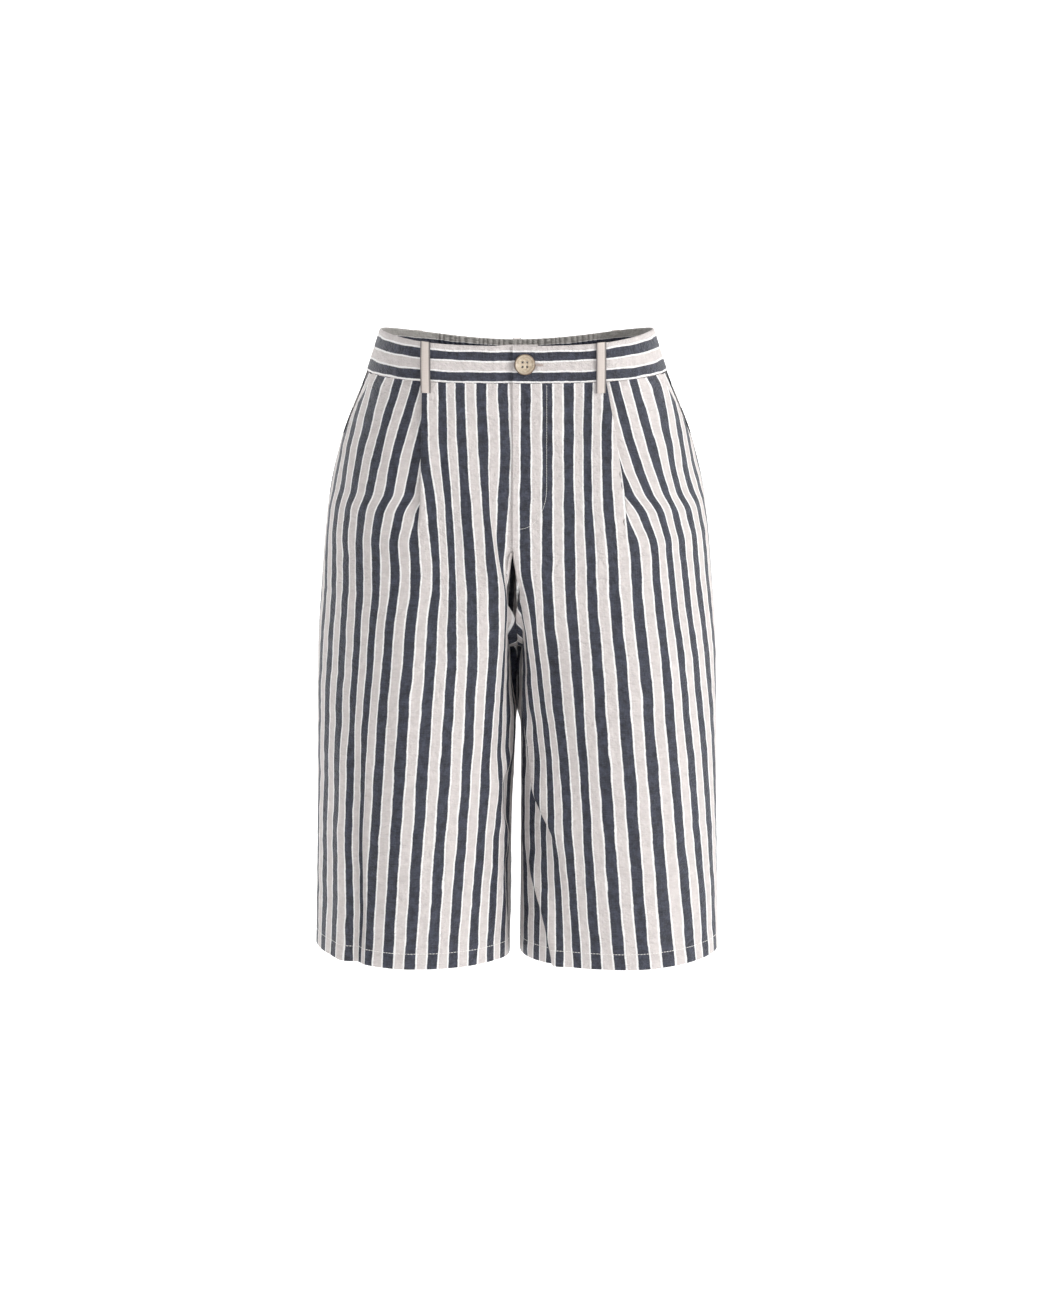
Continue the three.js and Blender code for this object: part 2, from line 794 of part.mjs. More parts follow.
// The button lies on the lap, square to the band's slope.
const buttonCurve = frontSection(leftSide, buttonHeight, lapLine);
const buttonRun = buttonCurve.whereAcross(buttonAcross);
const bandTop = place(leftSide, frontSection(leftSide, 0, lapLine), buttonRun, 0, 0, frontLiftPower);
const bandFoot = place(
  leftSide,
  frontSection(leftSide, -bandHeight, lapLine),
  buttonRun,
  0,
  -bandHeight,
  frontLiftPower,
);
const downBand = bandFoot.sub(bandTop).normalize();
const alongBand = new THREE.Vector3(1, 0, 0);
const buttonAxis = downBand.cross(alongBand).normalize();
const button = add("button", buttonGeometry(), hornCream);
button.quaternion.setFromUnitVectors(new THREE.Vector3(0, 0, 1), buttonAxis);
button.position
  .copy(place(leftSide, buttonCurve, buttonRun, 0, buttonHeight, frontLiftPower))
  .addScaledVector(buttonAxis, bandThickness / 2 + seamGap);

export default shorts;
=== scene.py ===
import math
from bisect import bisect_left

import bpy
import numpy as np
from mathutils import Matrix, Vector, noise


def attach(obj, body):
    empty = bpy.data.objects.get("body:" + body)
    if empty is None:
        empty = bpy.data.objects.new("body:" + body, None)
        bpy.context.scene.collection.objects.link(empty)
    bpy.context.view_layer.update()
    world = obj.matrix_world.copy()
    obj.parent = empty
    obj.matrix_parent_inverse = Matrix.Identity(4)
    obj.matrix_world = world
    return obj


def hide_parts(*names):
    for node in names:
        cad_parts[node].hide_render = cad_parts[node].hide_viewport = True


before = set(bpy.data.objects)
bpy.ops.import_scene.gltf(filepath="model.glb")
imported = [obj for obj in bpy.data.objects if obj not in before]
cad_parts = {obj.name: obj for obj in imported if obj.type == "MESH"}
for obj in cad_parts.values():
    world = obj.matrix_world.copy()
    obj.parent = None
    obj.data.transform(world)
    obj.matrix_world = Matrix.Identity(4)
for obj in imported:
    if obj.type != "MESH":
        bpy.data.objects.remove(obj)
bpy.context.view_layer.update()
body = "root"
mm = 0.001

# Garment sizes in millimetres. The front faces -Y and the waist is at z = 0.
garment = {
    "bandHeight": 35.0,
    "length": 613.0,
    "crotchDepth": 300.0,
    "inseamForward": 11.0,
    "halfGap": 0.02,
    "outerPower": 1.9,
    "crotchStartFront": -195.0,
    "crotchStartBack": -143.0,
    "frontLiftPower": 3.0,
    "backLiftPower": 1.8,
}

sectionColumns = (
    "z", "side", "crease", "front", "belly", "back", "seat", "seam", "roundFront", "roundBack",
)
sectionRows = (
    (0, 133, 78, 80, 8, 80, 8, 0, 0, 0),
    (-35, 146.5, 80, 84, 9, 87, 8, 0, 0, 0),
    (-96, 172.6, 80, 88, 9, 100, 8, 2, 0, 0),
    (-152, 185.6, 80, 91, 8, 108, 6, 3, 0, 6),
    (-231, 193.5, 84, 94, 4, 108, 3, 4, 10, 36),
    (-304, 198.5, 88, 95, 0, 101, 0, 4, 48, 68),
    (-503, 201.6, 98, 91, 0, 90, 0, 0, 160, 180),
    (-613, 204.5, 104, 88, 0, 86, 0, 0, 200, 220),
)
saddleColumns = ("z", "lift", "drop")
saddleRows = ((0, 12.3, 3.4), (-35, 6.3, 2.5), (-120, 0, 0), (-613, 0, 0))
pleatColumns = ("z", "depth", "bend", "opened")
pleatRows = (
    (-35, 25, 0.8, 0),
    (-91, 15, 1.1, 0),
    (-140, 5.5, 1.4, 0),
    (-163, 1, 1.7, 0.5),
    (-192, 0.5, 2, 1),
    (-613, 0.5, 2, 1),
)
# Lines on a panel give (z, distance from the centre). A grain line is the path of one
# thread. The spread is how far apart the drape sets the stripes. Drawn is the cloth that
# the drape takes up: beyond the crease, beyond the side's turn, and at the inner edge.
drawnColumns = ("z", "near", "far", "turnStart", "turnEnd", "inner", "innerEnd")
leftSide = {
    "name": "left",
    "sign": 1,
    "laps": True,
    "foldLine": ((-35, 84), (-91, 94), (-152, 102), (-300, 104), (-613, 112)),
    "innerEdge": ((-300, 0.75), (-343, 3), (-403, 4.5), (-533, 4), (-613, 3)),
    "hemLift": 1.0,
    "loopAcross": 79.5,
    "grainLine": (
        (-43, 28.9), (-151, 28.9), (-210, 28.9), (-249, 29.9), (-288, 33.8), (-347, 39.5),
        (-406, 45.3), (-484, 51.0), (-562, 57.0), (-613, 61.5),
    ),
    "spread": ((-120, 1.0), (-210, 1.07), (-288, 1.11), (-347, 1.14), (-613, 1.15)),
    "drawn": (
        (-43, 4, -24, 114, 160, 0, 36), (-92, 5.5, -1, 120, 164, 0, 36),
        (-151, 5, 11, 120, 166, 0, 36), (-210, 2.5, 12, 120, 170, 1.5, 30),
        (-260, 2.5, 11, 126, 180, 11, 27), (-288, 2.5, 10, 130, 184, 15, 27),
        (-320, 3, 9, 130, 184, 18, 32), (-406, 4.7, 5, 120, 166, 27, 48),
        (-484, 5, 2, 120, 180, 21, 56), (-563, 5.3, -1, 130, 180, 24, 60),
        (-613, 5.3, -1, 130, 180, 20, 60),
    ),
}
rightSide = {
    "name": "right",
    "sign": -1,
    "laps": False,
    "foldLine": ((-35, 89), (-91, 90), (-152, 91), (-300, 97), (-613, 108)),
    "innerEdge": ((-300, 0.75), (-343, 0.9), (-403, 2.5), (-473, 5.5), (-613, 7.5)),
    "hemLift": 5.0,
    "loopAcross": 86.0,
    "grainLine": (
        (-43, 33.8), (-92, 31.8), (-151, 28.0), (-210, 24.0), (-249, 22.4), (-288, 22.6),
        (-347, 26.6), (-406, 30.4), (-484, 35.7), (-562, 41.5), (-613, 44.4),
    ),
    "spread": ((-240, 1.0), (-288, 1.03), (-347, 1.06), (-613, 1.07)),
    "drawn": (
        (-43, 6, -16, 114, 160, 0, 24), (-92, 4.5, -3, 130, 164, 0, 24),
        (-151, 8.5, 6.5, 122, 166, 0, 20), (-210, 9.5, 10.5, 122, 166, 0, 18),
        (-245, 6, 10.5, 123, 166, 12, 16), (-288, 2, 10.5, 124, 166, 15, 16),
        (-320, 1.5, 11, 128, 168, 15, 20), (-406, 0, 13, 140, 174, 14, 24),
        (-484, 0, 16, 150, 170, 11, 26), (-563, 1.5, 23, 146, 170, 7, 28),
        (-613, 1.5, 23, 146, 170, 7, 28),
    ),
}


def clamp01(t):
    return min(1.0, max(0.0, t))


def smooth(t):
    c = clamp01(t)
    return c * c * (3 - 2 * c)


def mix(a, b, t):
    return a + (b - a) * t


# A column at height z, along a curve that never overshoots its rows.
def readRows(rows, column, z):
    last = len(rows) - 1
    if z >= rows[0][0]:
        return rows[0][column]
    if z <= rows[last][0]:
        return rows[last][column]
    k = 0
    while rows[k + 1][0] > z:
        k += 1

    def slope(i):
        if i < 0 or i >= last:
            return None
        return (rows[i + 1][column] - rows[i][column]) / (rows[i + 1][0] - rows[i][0])

    def tangent(i):
        before = slope(i - 1)
        after = slope(i)
        if before is None:
            return after
        if after is None:
            return before
        return 0.0 if before * after <= 0 else 2 * before * after / (before + after)

    span = rows[k + 1][0] - rows[k][0]
    t = (z - rows[k][0]) / span
    t2 = t * t
    t3 = t2 * t
    return (
        (2 * t3 - 3 * t2 + 1) * rows[k][column]
        + (t3 - 2 * t2 + t) * span * tangent(k)
        + (3 * t2 - 2 * t3) * rows[k + 1][column]
        + (t3 - t2) * span * tangent(k + 1)
    )


def section(name, z):
    return readRows(sectionRows, sectionColumns.index(name), z)


def saddle(name, z):
    return readRows(saddleRows, saddleColumns.index(name), z)


def quarter(angle, power):
    c = max(0.0, math.cos(angle))
    s = max(0.0, math.sin(angle))
    r = (c**power + s**power) ** (-1 / power)
    return c * r, s * r


# A level line round the body, measured from its start.
class LevelCurve:

    def __init__(self, points):
        self.x = [p[0] for p in points]
        self.y = [p[1] for p in points]
        self.run = [0.0]
        for i in range(1, len(points)):
            step = math.hypot(self.x[i] - self.x[i - 1], self.y[i] - self.y[i - 1])
            self.run.append(self.run[-1] + step)
        self.length = self.run[-1]
        self.tangents = []
        for i in range(len(points)):
            a = max(0, i - 1)
            b = min(len(points) - 1, i + 1)
            dx = self.x[b] - self.x[a]
            dy = self.y[b] - self.y[a]
            size = math.hypot(dx, dy)
            self.tangents.append((dx / size, dy / size))

    def at(self, distance):
        k = min(max(bisect_left(self.run, distance) - 1, 0), len(self.run) - 2)
        t = (distance - self.run[k]) / (self.run[k + 1] - self.run[k])
        c = clamp01(t)
        tx = mix(self.tangents[k][0], self.tangents[k + 1][0], c)
        ty = mix(self.tangents[k][1], self.tangents[k + 1][1], c)
        size = math.hypot(tx, ty)
        x = mix(self.x[k], self.x[k + 1], t)
        y = mix(self.y[k], self.y[k + 1], t)
        return x, y, ty / size, -tx / size

    def whereAcross(self, x):
        k = len(self.x) - 2
        while k > 0 and (self.x[k] - x) * (self.x[k + 1] - x) > 0:
            k -= 1
        share = (x - self.x[k]) / (self.x[k + 1] - self.x[k])
        return self.run[k] + share * (self.run[k + 1] - self.run[k])


def softMin(a, b):
    if a <= 0 or b <= 0:
        return 0.0
    return a * b / (a**4 + b**4) ** 0.25


def crotchRun(z, startZ):
    s = clamp01((startZ - z) / (startZ + garment["crotchDepth"]))
    return 1 - math.sqrt(max(0.0, 1 - s**1.6))


curveSteps = 36
straightSteps = 8


def innerPart(startAcross, startY, crease, creaseY, fullness, power):
    reach = abs(creaseY - startY)
    corner = softMin(reach, fullness)
    towards = -1 if creaseY < startY else 1
    turnY = creaseY - towards * corner
    points = []
    if reach - corner > 0.5:
        for i in range(straightSteps):
            points.append((startAcross, mix(startY, turnY, i / straightSteps)))
    for i in range(curveSteps + 1):
        along, across = quarter(i / curveSteps * math.pi / 2, power)
        points.append((crease - (crease - startAcross) * along, turnY + (creaseY - turnY) * across))
    return points


def outerPart(side, crease, creaseY, seam):
    points = []
    for i in range(1, curveSteps + 1):
        along, across = quarter(i / curveSteps * math.pi / 2, garment["outerPower"])
        points.append((crease + (side - crease) * across, seam + (creaseY - seam) * along))
    return points


def innerStart(side, z):
    if z <= -garment["crotchDepth"]:
        return readRows(side["innerEdge"], 1, z)
    towards = smooth((-228 - z) / (garment["crotchDepth"] - 228))
    shift = -side["sign"] * 4 * (1 - towards)
    return mix(garment["halfGap"], 0.75, smooth((-198 - z) / 20)) + shift


def frontSection(side, z, start=None):
    if start is None:
        start = innerStart(side, z)
    creaseY = -section("front", z)
    inseamY = -garment["inseamForward"] - garment["halfGap"]
    startY = mix(creaseY, inseamY, crotchRun(z, garment["crotchStartFront"]))
    power = mix(4, 2.0, smooth((garment["crotchStartFront"] - z) / 90))
    crease = section("crease", z)
    width = section("side", z)
    points = innerPart(start, startY, crease, creaseY, section("roundFront", z), power)
    points += outerPart(width, crease, creaseY, section("seam", z))
    belly = section("belly", z)
    return LevelCurve([(x, y - belly * (1 - (x / width) ** 2)) for x, y in points])


def backSection(side, z, end=None):
    if end is None:
        if z > -garment["crotchDepth"]:
            end = mix(garment["halfGap"], 0.75, smooth((garment["crotchStartBack"] - 10 - z) / 20))
        else:
            end = readRows(side["innerEdge"], 1, z)
    creaseY = section("back", z)
    inseamY = -garment["inseamForward"] + garment["halfGap"]
    endY = mix(creaseY, inseamY, crotchRun(z, garment["crotchStartBack"]))
    power = mix(3.4, 2.5, smooth((-200 - z) / 140))
    crease = section("crease", z)
    width = section("side", z)
    points = innerPart(end, endY, crease, creaseY, section("roundBack", z), power)
    points += outerPart(width, crease, creaseY, section("seam", z))
    points.reverse()
    seat = section("seat", z)
    return LevelCurve([(x, y + seat * (1 - (x / width) ** 2)) for x, y in points])


# A point of the cloth in millimetres. below moves it down its own line.
def place(side, curve, distance, outward, z, isBack, below=0.0):
    x, y, nx, ny = curve.at(distance)
    power = garment["backLiftPower"] if isBack else garment["frontLiftPower"]
    share = clamp01(abs(x) / section("side", z)) ** power
    atHem = side["hemLift"] * smooth((-480 - z) / 130)
    height = z + (saddle("lift", z) + atHem) * share - below
    if isBack:
        height -= saddle("drop", z) * (1 - share)
    return (x + nx * outward, y + ny * outward, height)


def pleatAt(z):
    depth, bend, opened = (readRows(pleatRows, pleatColumns.index(c), z) for c in pleatColumns[1:])
    turn = math.pi * bend
    cloth = 2 * depth + 2 * turn

    def at(q):
        if q <= turn:
            along = bend * math.sin(q / bend)
            out = bend * (math.cos(q / bend) - 1)
        elif q <= turn + depth:
            along = turn - q
            out = -2 * bend
        elif q <= 2 * turn + depth:
            angle = (q - turn - depth) / bend
            along = -depth - bend * math.sin(angle)
            out = bend * (math.cos(angle) - 3)
        else:
            along = q - 2 * turn - 2 * depth
            out = -4 * bend
        return mix(along, q, opened), out * (1 - opened)

    turnSteps = 8
    flatSteps = 3
    stops = [turn * i / turnSteps for i in range(1, turnSteps + 1)]
    stops += [turn + depth * i / flatSteps for i in range(1, flatSteps)]
    stops += [turn + depth + turn * i / turnSteps for i in range(turnSteps + 1)]
    stops += [2 * turn + depth + depth * i / flatSteps for i in range(1, flatSteps + 1)]
    return {
        "cloth": cloth,
        "taken": cloth * opened,
        "at": at,
        "stops": stops,
        "drop": -4 * bend * (1 - opened),
    }


# Drape folds, on the side and with the width given. A soft fold rises or dips on both sides.
# An over fold lets the outer cloth lie over the inner, and its rows also give hidden cloth.
foldColumns = ("z", "across", "height", "hidden")


def softFold(side, wide, *rows):
    return {"side": side, "over": False, "wide": wide, "rows": rows}


def overFold(side, wide, sharp, *rows):
    return {"side": side, "over": True, "wide": wide, "sharp": sharp, "rows": rows}


frontFolds = (
    overFold(-1, 15, 1.0, (-100, 29, 0, 0), (-151, 26, 1.6, 6), (-180, 22.2, 2.6, 10),
             (-210, 16.4, 3.6, 14.5), (-240, 8.7, 4.4, 18), (-256, 4.8, 4.4, 20), (-285, 0.5, 2, 20),
             (-330, -8, 0, 20)),
    overFold(-1, 12, 1.0, (-395, 4, 0, 0), (-411, 8, 3, 4), (-435, 16.5, 4.5, 9), (-460, 15.5, 4.5, 9),
             (-489, 10, 3.5, 6), (-523, 14, 4, 9), (-582, 10.6, 3, 7), (-614, 9, 3, 6)),
    softFold(-1, 6.5, (-370, 157, 0), (-430, 156, -3.5), (-500, 157, -5.5), (-560, 157, -6),
             (-614, 161, -5)),
    softFold(-1, 8, (-360, 171, 0), (-430, 170, 3), (-520, 171, 4), (-614, 175, 4)),
    softFold(-1, 18, (-200, 100, 0), (-300, 108, 2.2), (-420, 112, 2.2), (-614, 120, 1)),
    softFold(-1, 10, (-60, 52, 0), (-120, 48, 1.2), (-200, 42, 1.5), (-290, 34, 0)),
    overFold(1, 19, 0.9, (-312, 1, 0, 0), (-339, 5, 4, 0), (-391, 13, 7, 0), (-435, 18.5, 8, 0),
             (-460, 27, 7, 0), (-484, 37, 4.5, 0), (-500, 41, 2.5, 0), (-530, 46, 0, 0)),
    overFold(1, 12, 0.9, (-500, 12, 0, 0), (-520, 14.5, 4, 0), (-564, 27, 6, 0), (-592, 33, 6, 0),
             (-614, 37, 6, 0)),
    overFold(1, 9, 0.9, (-235, 2, 0, 0), (-262, 4, 2, 3), (-300, 9, 2.5, 6), (-345, 14, 2, 6),
             (-385, 24, 0, 0)),
    softFold(1, 16, (-150, 128, 0), (-260, 136, 2), (-400, 150, 2.4), (-614, 156, 1)),
    softFold(1, 20, (-300, 108, 0), (-380, 112, 2), (-470, 118, 2), (-614, 126, 2)),
)
backFolds = (
    softFold(1, 13, (-110, 52, 0), (-200, 66, 3.4), (-330, 60, 3.4), (-440, 42, 0)),
    softFold(1, 15, (-300, 10, 0), (-370, 24, 3), (-440, 38, 4.2), (-520, 52, 3.4), (-614, 66, 3)),
    softFold(1, 14, (-340, 140, 0), (-470, 146, 3.6), (-614, 152, 3.6)),
    softFold(1, 9, (-215, 90, 0), (-262, 62, 2.8), (-292, 30, 0)),
    softFold(-1, 14, (-120, 46, 0), (-240, 64, 3.2), (-350, 58, 3.2), (-450, 40, 0)),
    softFold(-1, 14, (-310, 12, 0), (-380, 24, 3), (-455, 38, 4), (-540, 50, 3.2), (-614, 60, 3)),
    softFold(-1, 15, (-350, 128, 0), (-460, 138, 3.4), (-614, 148, 3.4)),
    softFold(-1, 9, (-225, 84, 0), (-268, 58, 2.6), (-296, 26, 0)),
)


# Height of the folds at a point and the cloth they hide outside it.
def foldsAt(folds, side, across, z):
    height = 0.0
    hidden = 0.0
    for fold in folds:
        rows = fold["rows"]
        if fold["side"] != side["sign"] or z > rows[0][0] or z < rows[-1][0]:
            continue
        away = across - readRows(rows, foldColumns.index("across"), z)
        rise = readRows(rows, foldColumns.index("height"), z)
        if not fold["over"]:
            height += rise * math.exp(-((away / fold["wide"]) ** 2))
            continue
        outside = 1 / (1 + math.exp(-max(-30.0, min(30.0, away / fold["sharp"]))))
        height += rise * outside * math.exp(-((max(0.0, away) / fold["wide"]) ** 2))
        height -= 0.2 * rise * math.exp(-(((away + 4) / 4) ** 2))
        hidden += readRows(rows, foldColumns.index("hidden"), z) * (1 - outside)
    return height, hidden


# The hollow where the legs part, in z and how deep it is worn into each side.
hollowColumns = ("z", "left", "right")
hollowRows = (
    (-188, 0, 0), (-198, 1.4, 1.6), (-212, 3.2, 4), (-226, 4.6, 7.5), (-240, 5.6, 10.5),
    (-262, 6, 10.5), (-290, 5.2, 9), (-330, 3, 5), (-372, 0, 0), (-613, 0, 0),
)


hollowFoot = -372.0


def hollow(side, z, x, distance):
    if z > hollowRows[0][0] or z < hollowFoot:
        return 0.0
    depth = readRows(hollowRows, hollowColumns.index(side["name"]), z)
    atSeam = mix(1.0, smooth(distance / 7), smooth((-235 - z) / 30))
    return depth * atSeam * (1 - smooth((x - 1) / 14))


# Just below the crotch the inner cloth of the two legs swells until it nearly meets.
swell = {"top": -296.0, "foot": -362.0, "fade": 16.0, "apart": 0.45, "reach": 9.0}


def swellAt(side, z, fromInseam):
    if z > swell["top"]:
        return 0.0
    full = max(0.0, readRows(side["innerEdge"], 1, z) - swell["apart"])
    fade = 1 - smooth((swell["foot"] - z) / swell["fade"])
    return full * fade * (1 - smooth((fromInseam - swell["reach"]) / swell["reach"]))


# The cloth's own crumple, in millimetres.
def crinkle(x, z, seed):
    coarse = noise.noise(Vector((x / 24, z / 46, seed)))
    medium = noise.noise(Vector((x / 10, z / 15, seed + 7)))
    fine = noise.noise(Vector((x / 5, z / 7, seed + 13)))
    return 1.0 * coarse + 0.6 * medium + 0.26 * fine


lap = {
    "edge": 1.0,
    "step": 1.8,
    "ease": 20.0,
    "bottom": -188.0,
    "bandStart": -4.0,
    "bandStep": 2.7,
    "bandUnder": 20.0,
    "peek": 1.1,
}
pocket = {
    "mouth": 38.0,
    "bottom": -122.0,
    "bag": 70.0,
    "inset": 1.8,
    "top": -36.4,
    "bagBottom": -188.0,
    "lightAt": 15.8,
}
stripeGrain = {"threadAt": 28.6, "backSpread": 1.06}
# Where the front face gives way to the wall between the legs, from the centre.
turnColumns = ("z", "front", "back")
turnRows = ((-150, 34, 36), (-300, 13, 18), (-613, 20, 24))


def pocketCut(z):
    if z <= pocket["bottom"]:
        return 0.0
    t = clamp01((-garment["bandHeight"] - z) / (-garment["bandHeight"] - pocket["bottom"]))
    return pocket["mouth"] * (1 - t) ** 0.9


def frontStart(side, z):
    if not side["laps"] and z >= lap["bottom"]:
        return lap["edge"]
    if not side["laps"] and z >= -203:
        return mix(lap["edge"], innerStart(side, -203), smooth((lap["bottom"] - z) / 15))
    return innerStart(side, z)


def lapOffset(side, z, across):
    if side["laps"] or z < -225:
        return 0.0
    fade = smooth((z + 225) / 22)
    return -lap["step"] * fade * (1 - smooth((across - 4.5) / lap["ease"]))


def frontLine(side, z):
    curve = frontSection(side, z, frontStart(side, z))
    pleat = pleatAt(z)
    foldRun = curve.whereAcross(readRows(side["foldLine"], 1, z))
    grainRun = curve.whereAcross(readRows(side["grainLine"], 1, z))
    return curve, pleat, foldRun, grainRun


# How far the drape draws the stripes along at a point, from the side's drawn table.
def drawnIn(side, x, z):
    def row(name):
        return readRows(side["drawn"], drawnColumns.index(name), z)

    near = row("near") * smooth((x - 50) / 32)
    turned = smooth((x - row("turnStart")) / (row("turnEnd") - row("turnStart")))
    inner = row("inner") * (1 - smooth((x - 8) / (row("innerEnd") - 8)))
    return mix(near, row("far"), turned) - inner


# A point past or before the pleat with its cloth coordinates.
def frontCloth(side, z, line, distance, extra=0.0, below=0.0, v=None):
    curve, pleat, foldRun, grainRun = line
    past = distance - foldRun
    drop = pleat["drop"] * (1 - smooth((past - pleat["taken"]) / 45)) if past > 0 else 0.0
    x = curve.at(distance)[0]
    hidden = pleat["cloth"] - pleat["taken"] if past > pleat["taken"] + 0.001 else 0.0
    u = stripeGrain["threadAt"] + (distance + hidden - grainRun) / readRows(side["spread"], 1, z)
    u += drawnIn(side, x, z)
    v = -z if v is None else v
    height, tucked = foldsAt(frontFolds, side, x, z)
    out = drop + extra + lapOffset(side, z, x) + height - hollow(side, z, x, distance)
    out += swellAt(side, z, distance)
    beside = smooth((curve.length - distance) / 16) * smooth(distance / 10)
    out += (crinkle(x, z, 3.1 + side["sign"]) * beside - hemDip(z)) * clothEase(z)
    u -= tucked
    return place(side, curve, distance, out, z, False, below), (u, v)


hem = {"turnUp": 16.5, "radius": 0.85, "stitchUp": 16.0}


# The hem's sewing draws the cloth in along its line.
def hemDip(z):
    return 0.5 * math.exp(-(((z + garment["length"] - hem["stitchUp"]) / 1.7) ** 2))


# Crumple fades where the cloth is sewn to the waistband and at the hem.
def clothEase(z):
    return smooth((-38 - z) / 22) * mix(0.55, 1.0, smooth((z + 612) / 25))


# Rows below the last level: round the fold and up inside, as (below, outward, v).
def hemPath(turnUp, radius):
    rows = []
    for i in range(1, 7):
        angle = math.pi * i / 6
        rows.append((radius * math.sin(angle), radius * (math.cos(angle) - 1), radius * angle))
    for i in range(1, 5):
        rows.append((-turnUp * i / 4, -2 * radius, math.pi * radius + turnUp * i / 4))
    return rows


# A panel's rows from its top, round the hem's fold, as (z, below, outward, v).
def panelRows(heights):
    foot = heights[-1]
    rows = [(z, 0, 0, None) for z in heights]
    for below, out, w in hemPath(hem["turnUp"], hem["radius"]):
        rows.append((foot, below, out, w - foot))
    return rows


# Heights from mark to mark, no further apart than the spacing.
def levels(marks, spacing):
    rows = [marks[0]]
    for a, b in zip(marks, marks[1:]):
        count = max(1, math.ceil((a - b) / spacing))
        rows += [mix(a, b, i / count) for i in range(1, count + 1)]
    return rows


frontLevels = levels(
    (-35.15, -122, -188, -203, -225, -284, -293, -298, -299.4, -300, -592, -602, -612.2), 3.6)
backLevels = levels((-34.5, -38, -44, -143, -225, -287, -295, -299, -299.7, -300, -592, -602, -612.2), 3.8)


def frontGrid(side):
    wallSteps = 34
    faceSteps = 48
    outerSteps = 48
    grid = []
    cloth = []
    for z, below, out, v in panelRows(frontLevels):
        line = frontLine(side, z)
        curve, pleat, foldRun, grainRun = line
        turnRun = curve.whereAcross(readRows(turnRows, turnColumns.index("front"), z))
        points = []
        for i in range(wallSteps):
            points.append(frontCloth(side, z, line, turnRun * i / wallSteps, out, below, v))
        for i in range(faceSteps + 1):
            distance = mix(turnRun, foldRun, i / faceSteps)
            points.append(frontCloth(side, z, line, distance, out, below, v))
        for stop in pleat["stops"]:
            along, depth = pleat["at"](stop)
            x = curve.at(foldRun + along)[0]
            spread = readRows(side["spread"], 1, z)
            u = stripeGrain["threadAt"] + (foldRun + stop - grainRun) / spread + drawnIn(side, x, z)
            w = -z if v is None else v
            rise = depth + out + foldsAt(frontFolds, side, x, z)[0]
            rise += (crinkle(x, z, 3.1 + side["sign"]) - hemDip(z)) * clothEase(z)
            points.append((place(side, curve, foldRun + along, rise, z, False, below), (u, w)))
        start = foldRun + pleat["taken"]
        end = curve.length - garment["halfGap"] - pocketCut(z)
        for i in range(1, outerSteps + 1):
            distance = mix(start, end, i / outerSteps)
            points.append(frontCloth(side, z, line, distance, out, below, v))
        grid.append([p[0] for p in points])
        cloth.append([p[1] for p in points])
    return grid, cloth


gathers = {"count": 7, "depth": 1.9, "bottom": -165.0, "span": 84.0}


def backCloth(side, z, curve, creaseRun, distance, extra=0.0, below=0.0, v=None):
    x = curve.at(distance)[0]
    u = 90 - (distance - creaseRun) / mix(1, stripeGrain["backSpread"], smooth(-z / 400))
    v = -z if v is None else v
    share = clamp01((gathers["span"] - x) / gathers["span"])
    phase = x / gathers["span"] * gathers["count"] + 0.35 * noise.noise(Vector((x / 17, z / 60, 5)))
    reach = 0.75 + 0.5 * noise.noise(Vector((x / 11, 0, side["sign"] * 3)))
    fade = 1 - smooth((-garment["bandHeight"] - z) / (-garment["bandHeight"] - gathers["bottom"]) / reach)
    fade *= smooth((-34.6 - z) / 9)
    wave = gathers["depth"] * math.sin(2 * math.pi * phase) * fade * smooth(share * 8)
    height, tucked = foldsAt(backFolds, side, x, z)
    out = extra + wave + height + swellAt(side, z, curve.length - distance)
    beside = smooth(distance / 16) * smooth((curve.length - distance) / 10)
    out += (crinkle(x, z, 11.7 + side["sign"]) * beside - hemDip(z)) * clothEase(z)
    return place(side, curve, distance, out, z, True, below), (u + tucked, v)


def backGrid(side):
    faceSteps = 92
    wallSteps = 40
    grid = []
    cloth = []
    for z, below, out, v in panelRows(backLevels):
        curve = backSection(side, z)
        creaseRun = curve.whereAcross(section("crease", z) - 0.01)
        turnRun = curve.whereAcross(readRows(turnRows, turnColumns.index("back"), z))
        end = curve.length - (garment["halfGap"] if z > -garment["crotchDepth"] else 0)
        runs = [mix(garment["halfGap"], turnRun, i / faceSteps) for i in range(faceSteps)]
        runs += [mix(turnRun, end, i / wallSteps) for i in range(wallSteps + 1)]
        points = []
        for distance in runs:
            points.append(backCloth(side, z, curve, creaseRun, distance, out, below, v))
        grid.append([p[0] for p in points])
        cloth.append([p[1] for p in points])
    return grid, cloth


def addObject(name, data):
    obj = bpy.data.objects.new(name, data)
    bpy.context.scene.collection.objects.link(obj)
    return obj


